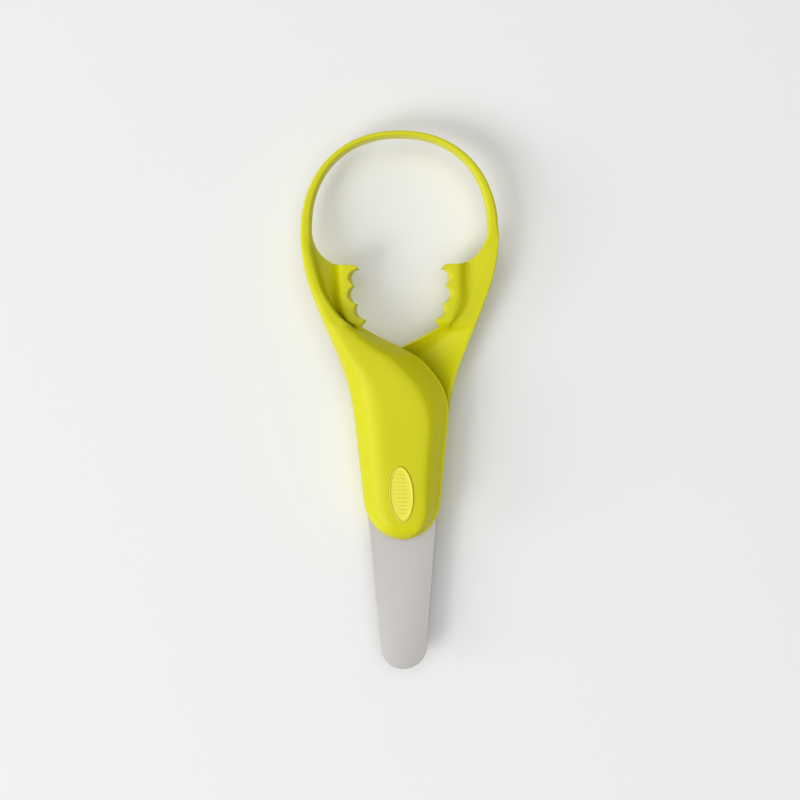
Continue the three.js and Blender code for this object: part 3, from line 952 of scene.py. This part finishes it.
    def jaw_keys(self, row: Row) -> np.ndarray:
        """Works out the arm's section beside the jaw: a standing band, a thin web and the toothed rim.

        Args:
            row: the section's place.

        Returns:
            Its corners.
        """
        width, y = row.width, row.y
        top, bottom = self.crest(y), self.arm_bottom(y)
        web_bottom = mix(self.web_bottom, bottom, smoothstep(y, 58, 70))
        band = min(self.band(y), width - 0.5)
        to_rim = -row.outer[0] + self.rim(row.inner[1])
        standing = smoothstep(width - to_rim + self.rim_slope, 0.5, self.rim_slope + 1.5)
        high = mix(self.web_top, self.rim_half_thickness, standing)
        low = mix(web_bottom, -max(self.rim_half_thickness, -web_bottom), standing)
        last = width - row.bevel
        foot = min(band + 0.2, last - 0.12)
        toe = min(max(to_rim - self.rim_slope, foot + 0.04), last - 0.08)
        crown = min(max(to_rim, toe + 0.04), last - 0.04)
        edge_top = mix(high - 0.5, self.tooth_edge, row.thin)
        edge_bottom = mix(low + 0.5, -self.tooth_edge, row.thin)
        return np.array([
            (0, bottom, 1.2), (0.2, top - self.shoulder(y), 2.4), (1.6, top, 2.4), (band - 0.7, top, 1.4),
            (foot, self.web_top, 1.4), (toe, self.web_top, 2.5), (crown, high, 2.0), (last, high, 0.5),
            (width, edge_top, 0.15), (width, edge_bottom, 0.15), (last, low, 0.5), (crown, low, 1.8),
            (toe, web_bottom, 2.5), (band * 0.8, bottom, 3.0), (min(1.2, band * 0.3), bottom, 0.8),
        ])

    @staticmethod
    def strip_keys(width: float) -> np.ndarray:
        """Works out the section that the arm has where it meets the loop, standing on its edge.

        Args:
            width: its width.

        Returns:
            Its corners.
        """
        depth = STRIP_HALF_DEPTH
        soft = min(1.2, 0.3 * width)
        inside = [(width, depth * share, 0.4) for share in (0.6, 0.3, 0.05, -0.3, -0.7, -1)]
        under = [(width * share, -depth, 0.3) for share in (0.8, 0.65, 0.5, 0.25, 0.1)]
        corners = [(0, -depth, soft), (0, depth * 0.4, 1), (0, depth, soft), (width, depth, soft)]
        return np.array([*corners, *inside, *under])

    def keys(self, row: Row) -> np.ndarray:
        """Blends a row's section from the cover's to the jaw's to the loop's.

        Args:
            row: the section's place.

        Returns:
            Its corners.
        """
        to_jaw = smoothstep(row.y, 29.5, 34.5)
        to_loop = smoothstep(row.y, 66, ARM_END)
        if to_jaw == 0:
            return self.handle_keys(row.y, row.width)
        made = self.jaw_keys(row)
        if to_jaw < 1:
            made = self.handle_keys(row.y, row.width) * (1 - to_jaw) + made * to_jaw
        return made * (1 - to_loop) + self.strip_keys(row.width) * to_loop

    def rounded(self, keys: np.ndarray) -> np.ndarray:
        """Rounds a section's corners, and adds points along its plateaus.

        Args:
            keys: the section's corners.

        Returns:
            The section's points.
        """

        def off(key: np.ndarray, other: np.ndarray) -> np.ndarray:
            """Where a corner's rounding ends on the way to the next one."""
            reach = min(0.48, key[2] / max(1e-6, math.hypot(*(other - key)[:2])))
            return key[:2] + (other - key)[:2] * reach

        points = []
        for i, (key, back, on) in enumerate(zip(keys, np.roll(keys, 1, axis=0), np.roll(keys, -1, axis=0))):
            start, end = off(key, back), off(key, on)
            for t in np.linspace(0, 1, self.corner_points):
                points.append((1 - t) ** 2 * start + 2 * t * (1 - t) * key[:2] + t * t * end)
            if i in self.plateaus:
                landing = off(on, key)
                for t in np.linspace(0, 1, self.plateau_points + 2)[1:-1]:
                    points.append(end + (landing - end) * t)
        return np.array(points)

    @staticmethod
    def squared(section: np.ndarray, width: float, share: float) -> np.ndarray:
        """Moves a section towards the loop's own rounded oblong.

        Args:
            section: its points.
            width: its width.
            share: how far it goes.

        Returns:
            The moved points.
        """
        half = np.array([width / 2, STRIP_HALF_DEPTH])
        unit = (section - [width / 2, 0]) / half
        size = (np.abs(unit) ** STRIP_POWER).sum(axis=1) ** (-1 / STRIP_POWER)
        return section * (1 - share) + (unit * size[:, None] * half + [width / 2, 0]) * share

    def skin(self, name: str) -> bpy.types.Object:
        """Lays the closed skin over the sections, without the inner features.

        Args:
            name: the object's name.

        Returns:
            The moulding.
        """
        rings = []
        for row in self.cover_rows() + self.tooth_rows() + self.opening_rows():
            to_strip = smoothstep(row.y, 68, ARM_END)
            section = self.squared(self.rounded(self.keys(row)), row.width, to_strip)
            outer = np.array(row.outer)
            along = (np.array(row.inner) - outer) / row.width
            rings.append(np.column_stack([outer + section[:, :1] * along, section[:, 1:]]))
        count, size = len(rings), len(rings[0])
        faces = between(count, size)
        for r, middle in ((0, count * size), (count - 1, count * size + 1)):
            faces += [(middle, r * size + i, r * size + (i + 1) % size) for i in range(size)]
        made = mesh_object(name, np.vstack([*rings, rings[0].mean(axis=0), rings[-1].mean(axis=0)]), faces)
        settle(made)
        return made


class Sweep:
    """A Geometry Nodes group made in code, run on an object and then turned into its mesh."""

    def __init__(self, name: str) -> None:
        """Starts a group with a geometry in and a geometry out.

        Args:
            name: the group's name.
        """
        self.tree = bpy.data.node_groups.new(name, "GeometryNodeTree")
        self.graph = Graph(self.tree)
        self.tree.interface.new_socket("Geometry", in_out="INPUT", socket_type="NodeSocketGeometry")
        self.tree.interface.new_socket("Geometry", in_out="OUTPUT", socket_type="NodeSocketGeometry")
        self.given: dict[str, float] = {}
        self.source = self.graph.node("NodeGroupInput")
        self.geometry = Value(self.graph, self.source.outputs["Geometry"])
        self.place = self.graph.value("GeometryNodeInputPosition", None, None, "Position")

    def number(self, name: str, value: float, kind: str = "NodeSocketFloat") -> Value:
        """Adds a named input.

        Args:
            name: the input's name.
            value: its value.
            kind: its socket's type.

        Returns:
            The input, for use in the group.
        """
        socket = self.tree.interface.new_socket(name, in_out="INPUT", socket_type=kind)
        self.given[socket.identifier] = value
        return Value(self.graph, self.source.outputs[name])

    def vector(self, operation: str, inputs: dict, output: str = "Vector") -> Value:
        """Adds a Vector Math node and gives one of its outputs."""
        return self.graph.value("ShaderNodeVectorMath", {"operation": operation}, inputs, output)

    def attribute(self, name: str, kind: str = "FLOAT") -> Value:
        """Reads a named attribute."""
        inputs = {"Name": name}
        return self.graph.value("GeometryNodeInputNamedAttribute", {"data_type": kind}, inputs, "Attribute")

    def part(self, vector: Value, axis: str) -> Value:
        """Takes one part of a vector."""
        return self.graph.value("ShaderNodeSeparateXYZ", None, {"Vector": vector}, axis)

    def joined(self, **parts: Value) -> Value:
        """Makes a vector of its parts."""
        return self.graph.value("ShaderNodeCombineXYZ", None, parts, "Vector")

    def move(self, geometry: Value, place: Value) -> Value:
        """Puts a geometry's points in new places."""
        inputs = {"Geometry": geometry, "Position": place}
        return self.graph.value("GeometryNodeSetPosition", None, inputs, "Geometry")

    def finish(self, geometry: Value, made: bpy.types.Object, material: bpy.types.Material) -> None:
        """Ends the group and turns what it makes into the object's mesh.

        Args:
            geometry: what the group has made.
            made: the object that it runs on.
            material: the finish of what it makes.
        """
        real = self.graph.value("GeometryNodeRealizeInstances", None, {"Geometry": geometry}, "Geometry")
        inputs = {"Geometry": real, "Material": material}
        dressed = self.graph.value("GeometryNodeSetMaterial", None, inputs, "Geometry")
        self.graph.node("NodeGroupOutput", None, {"Geometry": dressed})
        modifier = made.modifiers.new(self.tree.name, "NODES")
        modifier.node_group = self.tree
        for identifier, value in self.given.items():
            modifier[identifier] = value
        harden(made)


@dataclass(frozen=True)
class Blade:
    """The flat steel blade with a round tip, its edges eased all round."""

    layout: Layout
    tip_half_width: float = 10.3
    tip_radius: float = 10.25
    tang_half_width: float = 11.0
    tang_corner: float = 4.0
    shoulder_start: float = -51.5
    shoulder_end: float = -49.0
    ease: float = 0.2
    ease_steps: int = 4
    tip_points: int = 48
    corner_points: int = 14

    def outline(self, grow: float) -> np.ndarray:
        """Draws the blade's outline, round its tip and up its tang.

        Args:
            grow: how far it is let out all round.

        Returns:
            Its points.
        """
        halves = self.layout.blade_high.x, self.tip_half_width, self.tang_half_width
        root, tip, tang = (half + grow for half in halves)
        end, shoulder = self.layout.blade_high.y + grow, self.shoulder_end + grow
        start, cut = self.shoulder_start, self.tang_corner
        angles = np.linspace(math.pi, 2 * math.pi, self.tip_points)
        tip_y = self.layout.blade_low.y + self.tip_radius
        tip_arc = np.column_stack([tip * np.cos(angles), tip_y + (self.tip_radius + grow) * np.sin(angles)])
        t = np.linspace(0, 1, self.corner_points)[:, None]
        right = [
            (1 - t) ** 2 * np.array(first) + 2 * t * (1 - t) * np.array(corner) + t * t * np.array(last)
            for first, corner, last in (
                ((root, start), (root, shoulder), (tang, shoulder)),
                ((tang, end - cut), (tang, end), (tang - cut, end)),
            )
        ]
        return np.vstack([tip_arc, *right, *(points[::-1] * [-1, 1] for points in reversed(right))])

    def seat(self, gap: float, bottom: float, top: float) -> bpy.types.Object:
        """A block of the blade's outline, to cut its seat with."""
        ring = self.outline(gap)
        return stacked("blade seat", [(ring, bottom), (ring, top)])

    def build(self) -> bpy.types.Object:
        """Builds the blade from its outlines, drawn in where its edges are eased.

        Returns:
            The blade, in its place.
        """
        low, high = self.layout.blade_low.z, self.layout.blade_high.z
        rings = []
        for step in range(self.ease_steps + 1):
            angle = 0.5 * math.pi * step / self.ease_steps
            rings.append((self.ease * (math.sin(angle) - 1), low + self.ease * (1 - math.cos(angle))))
        rings += [(grow, low + high - z) for grow, z in reversed(rings)]
        made = stacked("steel_blade", [(self.outline(grow), z) for grow, z in rings])
        settle(made, 0.0005)
        smooth(made, 35)
        return made


@dataclass(frozen=True)
class Badge:
    """The oval badge: a raised rim round a sunk field with a row of plain ribs."""

    layout: Layout
    turn_degrees: float = 2.5
    plate_rise: float = 2.4
    rim: float = 0.65
    rim_slope: float = 0.12
    sink: float = 0.4
    ease: float = 0.18
    sides: int = 128
    ribs: int = 11
    rib_width: float = 0.7
    rib_height: float = 0.22
    rib_reach: float = 0.52
    rib_spread: float = 0.74
    seat_sides: int = 96
    seat_trim: float = 0.01

    def half(self) -> Place:
        """Works out the oval's half-axes before it is turned.

        Returns:
            The half-axes, across and along the tool.
        """
        size = (self.layout.badge_high - self.layout.badge_low) / 2
        sine, cosine = (f(math.radians(self.turn_degrees)) ** 2 for f in (math.sin, math.cos))
        across = math.sqrt((size.x**2 * cosine - size.y**2 * sine) / (cosine**2 - sine**2))
        along = math.sqrt((size.y**2 * cosine - size.x**2 * sine) / (cosine**2 - sine**2))
        return across, along

    def turn(self, made: bpy.types.Object) -> None:
        """Turns what is built about the origin, and moves it to the badge's place.

        Args:
            made: the object.
        """
        middle = (self.layout.badge_low + self.layout.badge_high) / 2
        made.data.transform(Matrix.Rotation(math.radians(self.turn_degrees), 4, "Z"))
        shift(made, middle.x, middle.y, 0)

    def seat(self, gap: float, bottom: float, top: float) -> bpy.types.Object:
        """Makes an oval block, to cut the badge's seat with.

        Args:
            gap: how far it stands off the badge.
            bottom: its lower height.
            top: its upper height.

        Returns:
            The block.
        """
        half = (self.layout.badge_high - self.layout.badge_low) / 2
        ring = unit_circle(self.seat_sides) * [half.x - self.seat_trim + gap, half.y + gap]
        made = stacked("badge seat", [(ring, bottom), (ring, top)])
        self.turn(made)
        return made

    def build(self, material: bpy.types.Material) -> bpy.types.Object:
        """Builds the badge with its ribs.

        Args:
            material: the finish.

        Returns:
            The badge, in its place.
        """
        half_x, half_y = self.half()
        top = self.layout.badge_high.z
        field, field_edge = top - self.sink, self.rim + self.rim_slope
        rings = [
            (0, self.layout.badge_low.z + self.plate_rise), (0, top - self.ease),
            (self.ease * 0.3, top - self.ease * 0.3), (self.ease, top), (self.rim - self.ease, top),
            (self.rim, top - self.ease * 0.8), (field_edge, field),
        ]
        rings += [(mix(field_edge, half_x, share), field) for share in (0.3, 0.6, 0.9)]
        circle = unit_circle(self.sides)
        made = stacked("oval_badge", [(circle * [half_x - inset, half_y - inset], z) for inset, z in rings])
        settle(made, 0.0005)
        self.add_ribs(made, field, half_y - self.rim, material)
        self.turn(made)
        smooth(made, 40)
        return made

    def add_ribs(
        self, made: bpy.types.Object, base: float, reach: float, material: bpy.types.Material
    ) -> None:
        """Lays the ribs along the badge, each as long as the oval lets it be there.

        Args:
            made: the badge's plate.
            base: the field's height.
            reach: half the field's length.
            material: the finish.
        """
        sweep = Sweep("badge ribs")
        graph = sweep.graph
        count = sweep.number("Ribs", self.ribs, "NodeSocketInt")
        width = sweep.number("Rib width", self.rib_width * MM)
        height = sweep.number("Rib height", self.rib_height * MM)
        length = sweep.number("Rib length", 2 * self.half()[0] * self.rib_reach * MM)
        end = reach * self.rib_spread * MM
        start, step = (0, -end, base * MM), (0, 2 * end / (self.ribs - 1), 0)
        inputs = {"Count": count, "Start Location": start, "Offset": step}
        line = graph.value("GeometryNodeMeshLine", {"mode": "OFFSET"}, inputs, "Mesh")
        inputs = {"Segments": 28, "Rings": 14, "Radius": 1.0}
        ball = graph.value("GeometryNodeMeshUVSphere", None, inputs, "Mesh")
        off = sweep.part(sweep.place, "Y") / (reach * MM)
        chord = (1 - off * off).math("SQRT")
        size = sweep.joined(X=chord * length * 0.5, Y=width * 0.5, Z=height)
        inputs = {"Points": line, "Instance": ball, "Scale": size}
        ribs = graph.value("GeometryNodeInstanceOnPoints", None, inputs, "Instances")
        join = graph.node("GeometryNodeJoinGeometry")
        for part in (sweep.geometry, ribs):
            graph.tree.links.new(part.socket, join.inputs["Geometry"])
        sweep.finish(Value(graph, join.outputs["Geometry"]), made, material)


@dataclass(frozen=True)
class Boss:
    """A round boss under the rear cover's roof, with a blind hole.

    Attributes:
        radius: its radius.
        top: where it meets the roof.
        hole: the hole's radius.
        depth: where the hole ends.
    """

    radius: float
    top: float
    hole: float
    depth: float


@dataclass(frozen=True)
class Halves:
    """The front and rear mouldings with their bosses, pockets and ribs."""

    layout: Layout
    blade: Blade
    badge: Badge
    moulding: Moulding = Moulding()
    roof: float = 11.0
    shank: float = 2.1
    shank_top: float = 12.0
    boss: float = 6.2
    boss_bottom: float = 0.65
    pocket: float = 4.3
    pocket_floor: float = 4.5
    badge_seat: float = 11.2
    badge_gap: float = 0.15
    stop_y: float = -18.0
    stop: float = 2.0
    rib_thickness: float = 1.6
    rib_half_length: float = 3.5
    rib_bottom: float = 0.95
    open_gap: float = 0.15
    closed_gap: float = 0.3
    blade_gap: float = 0.2
    blade_lift: float = 0.1
    upper_screw_y: float = -29.5
    lower_screw_y: float = -53.0
    pivot_boss: Boss = Boss(4.8, 11.0, 3.05, 9.4)
    stop_boss: Boss = Boss(3.6, 11.0, 2.05, 8.1)
    upper_boss: Boss = Boss(3.1, 11.0, 1.55, 7.7)
    lower_boss: Boss = Boss(3.1, 9.4, 1.55, 7.7)

    def front(self) -> bpy.types.Object:
        """Builds the front cover, left arm and left jaw.

        Returns:
            The moulding, in its place.
        """
        made = self.moulding.skin("front_moulding")
        pivot, above = self.layout.pivot, self.layout.mid + 2
        travel = (self.stop_y - pivot) * math.sin(self.layout.squeeze)
        closed = -self.stop - travel - self.closed_gap - self.rib_thickness
        low, high = self.stop_y - self.rib_half_length, self.stop_y + self.rib_half_length
        ribs = [
            block((x, low, self.rib_bottom), (x + self.rib_thickness, high, self.roof - 0.4))
            for x in (self.stop + self.open_gap, closed)
        ]
        pocket = post(self.pocket, pivot, self.pocket_floor, above)
        seat = self.badge.seat(self.badge_gap, self.badge_seat, above + 1)
        boss = post(self.boss, pivot, self.boss_bottom, self.roof)
        carve(made, [boss, *ribs], [pocket, post(self.shank, pivot, -1, self.shank_top), seat])
        return self.place(made)

    def rear(self) -> bpy.types.Object:
        """Builds the rear cover, right arm and right jaw: the front's shape turned over.

        Returns:
            The moulding, in its place.
        """
        made = self.moulding.skin("rear_moulding")
        seat = self.layout.mid - self.layout.blade_low.z + self.blade_lift
        bosses = {
            self.layout.pivot: self.pivot_boss,
            self.stop_y: self.stop_boss,
            self.upper_screw_y: self.upper_boss,
            self.lower_screw_y: self.lower_boss,
        }
        added = [post(boss.radius, y, seat, boss.top) for y, boss in bosses.items()]
        holes = [post(boss.hole, y, -1, boss.depth) for y, boss in bosses.items()]
        carve(made, added, [self.blade.seat(self.blade_gap, -1, seat), *holes])
        made.data.transform(Matrix.Rotation(math.pi, 4, "Y"))
        return self.place(made)

    def place(self, made: bpy.types.Object) -> bpy.types.Object:
        """Lifts a moulding to its height and shades it.

        Args:
            made: the moulding.

        Returns:
            The same moulding.
        """
        shift(made, 0, 0, self.layout.mid)
        smooth(made, 38)
        return made


@dataclass(frozen=True)
class Loop:
    """The springy strip, standing on its edge, that joins both arms round the opening."""

    layout: Layout
    rows: int = 220
    section_points: int = 48
    rigid_half_width: float = 37.0

    def build(self, material: bpy.types.Material) -> bpy.types.Object:
        """Sweeps a rounded oblong of changing width along the strip's middle.

        Args:
            material: the finish.

        Returns:
            The loop, in its place.
        """
        shares = np.linspace(0, 1, self.rows + 1)
        outer, inner = (
            np.array([oval.point(ARM_END, share) for share in shares]) for oval in (LOOP_OUTER, LOOP_INNER)
        )
        across = outer - inner
        width = np.linalg.norm(across, axis=1)
        middle = (outer + inner) / 2
        made = mesh_object("loop", middle, [], tuple((i, i + 1) for i in range(self.rows)))
        for name, kind, values in (
            ("middle", "FLOAT_VECTOR", middle * MM),
            ("outward", "FLOAT_VECTOR", across / width[:, None]),
            ("half_width", "FLOAT", width * MM / 2),
        ):
            stored = made.data.attributes.new(name, kind, "POINT").data
            part = "vector" if kind == "FLOAT_VECTOR" else "value"
            stored.foreach_set(part, np.ravel(values).astype(np.float32))
        self.sweep(made, material)
        settle(made, 0.0005)
        shift(made, 0, 0, self.layout.mid)
        smooth(made, 50)
        return made

    def sweep(self, made: bpy.types.Object, material: bpy.types.Material) -> None:
        """Runs the sweep on the strip's middle line.

        Args:
            made: the line, which becomes the strip.
            material: the finish.
        """
        sweep = Sweep("loop sweep")
        graph = sweep.graph
        depth = sweep.number("Half depth", STRIP_HALF_DEPTH * MM)
        power = sweep.number("Corner power", STRIP_POWER)
        points = sweep.number("Section points", self.section_points, "NodeSocketInt")
        inputs = {"Resolution": points, "Radius": 1.0}
        circle = graph.value("GeometryNodeCurvePrimitiveCircle", None, inputs, "Curve")
        x, y = (sweep.part(sweep.place, axis) for axis in "XY")
        size = (x.math("ABSOLUTE") ** power + y.math("ABSOLUTE") ** power) ** (-1.0 / STRIP_POWER)
        profile = sweep.move(circle, sweep.joined(X=x * size * MM, Y=y * size * depth))
        path = graph.value("GeometryNodeMeshToCurve", None, {"Mesh": sweep.geometry}, "Curve")
        level = graph.value("GeometryNodeSetCurveNormal", {"mode": "Z_UP"}, {"Curve": path}, "Curve")
        inputs = {"Curve": level, "Profile Curve": profile, "Fill Caps": True}
        strip = graph.value("GeometryNodeCurveToMesh", None, inputs, "Mesh")
        middle, outward = (sweep.attribute(name, "FLOAT_VECTOR") for name in ("middle", "outward"))
        off = sweep.vector("SUBTRACT", {0: sweep.place, 1: middle})
        share = sweep.vector("DOT_PRODUCT", {0: off, 1: outward}, "Value") / MM
        aside = sweep.vector("SCALE", {0: outward, "Scale": share * sweep.attribute("half_width")})
        rise = sweep.joined(Z=sweep.part(off, "Z"))
        moved = sweep.vector("ADD", {0: sweep.vector("ADD", {0: middle, 1: aside}), 1: rise})
        sweep.finish(sweep.move(strip, moved), made, material)


@dataclass(frozen=True)
class Light:
    """A round soft light that faces the tool: place and size in metres, power in watts."""

    name: str
    place: tuple[float, float, float]
    size: float
    power: float

    def build(self) -> None:
        """Hangs the light."""
        data = bpy.data.lights.new(self.name, "AREA")
        data.shape = "DISK"
        data.size = self.size
        data.energy = self.power
        made = bpy.data.objects.new(self.name, data)
        made.location = self.place
        made.rotation_euler = (-Vector(self.place)).to_track_quat("-Z", "Y").to_euler()
        bpy.context.scene.collection.objects.link(made)


@dataclass(frozen=True)
class Studio:
    """The pale floor, the soft light from the lower left, and the camera straight above, in metres."""

    floor_colour: Colour = (0.86, 0.86, 0.86, 1.0)
    floor_half_size: float = 4.0
    glow: float = 0.27
    lights: tuple[Light, ...] = (
        Light("key", (-2.55, -1.86, 2.55), 2.0, 68),
        Light("side", (-3.3, -0.3, 1.26), 1.5, 32),
        Light("overhead", (-0.5, 0.0, 4.5), 7.0, 125),
    )
    distance: float = 0.6
    frame_width: float = 0.350
    sensor_mm: float = 36.0
    roll_degrees: float = -0.55
    centre: Place = (-0.0005, 0.0002)

    def build(self, layout: Layout) -> None:
        """Builds the floor, the lights and the camera.

        Args:
            layout: the model's layout.
        """
        self.floor()
        self.world()
        for light in self.lights:
            light.build()
        self.camera(layout.mid * MM)

    def floor(self) -> None:
        """Lays the surface that the tool lies on."""
        work = bmesh.new()
        bmesh.ops.create_grid(work, x_segments=1, y_segments=1, size=self.floor_half_size)
        mesh = bpy.data.meshes.new("floor")
        work.to_mesh(mesh)
        work.free()
        made = bpy.data.objects.new("floor", mesh)
        bpy.context.scene.collection.objects.link(made)
        surface = Surface("pale floor")
        surface.constants(Base_Color=self.floor_colour, Roughness=0.9, Specular_IOR_Level=0.1)
        mesh.materials.append(surface.material)

    def world(self) -> None:
        """Gives the even light of a white room."""
        world = bpy.data.worlds.new("white room")
        bpy.context.scene.world = world
        world.use_nodes = True
        graph = Graph(world.node_tree)
        glow = graph.node("ShaderNodeBackground", None, {"Color": (1, 1, 1, 1), "Strength": self.glow})
        graph.node("ShaderNodeOutputWorld", None, {"Surface": glow.outputs[0]})

    def camera(self, height: float) -> None:
        """Hangs the camera straight above the tool.

        Args:
            height: the tool's middle height.
        """
        data = bpy.data.cameras.new("camera")
        data.sensor_width = self.sensor_mm
        data.lens = self.sensor_mm * self.distance / self.frame_width
        made = bpy.data.objects.new("camera", data)
        made.location = (*self.centre, height + self.distance)
        made.rotation_euler = Euler((0, 0, math.radians(self.roll_degrees)))
        scene = bpy.context.scene
        scene.collection.objects.link(made)
        scene.camera = made
        scene.view_settings.view_transform = "Standard"


def hand_over(made: bpy.types.Object, material: bpy.types.Material, slot: Slot, *nodes: str) -> None:
    """Dresses a finished piece and hides the model's nodes that it replaces.

    Args:
        made: the piece.
        material: its finish.
        slot: not used.
        nodes: the nodes that it replaces.
    """
    dress(made, material)
    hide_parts(*nodes)
    report(made)


def main() -> None:
    """Builds every piece in order."""
    logging.basicConfig(level=logging.INFO, format="%(name)s: %(message)s")
    layout = Layout.read()
    finishes = Finishes.make()
    Studio().build(layout)
    steel, oval = Blade(layout), Badge(layout)
    halves = Halves(layout, steel, oval)
    front, rear = halves.front(), halves.rear()
    blade, badge = steel.build(), oval.build(finishes.badge)
    for made, body in ((front, Body.FRONT), (rear, Body.REAR), (blade, Body.REAR), (badge, Body.FRONT)):
        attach(made, body.value)
    hand_over(front, finishes.lime, Slot.LIME, "front_half")
    hand_over(rear, finishes.lime, Slot.LIME, "rear_half")
    hand_over(blade, finishes.blade, Slot.BLADE, "blade")
    hand_over(badge, finishes.badge, Slot.BADGE, "badge")
    strip = Loop(layout)
    loop = strip.build(finishes.lime)
    reach, height = strip.rigid_half_width * MM, layout.mid * MM
    -reach
    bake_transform(loop)
    hand_over(loop, finishes.lime, Slot.LIME, "loop_left", "loop_right")
    fasteners = {
        finishes.screw: ("pivot_screw", "blade_screw_upper", "blade_screw_lower", "stop_pin"),
        finishes.brass: ("pivot_insert",),
        finishes.acetal: ("pivot_washer", "head_washer"),
    }
    for material, nodes in fasteners.items():
        for node in nodes:
            dress(frame["nodes"][node], material)


if __name__ == "__main__":
    main()
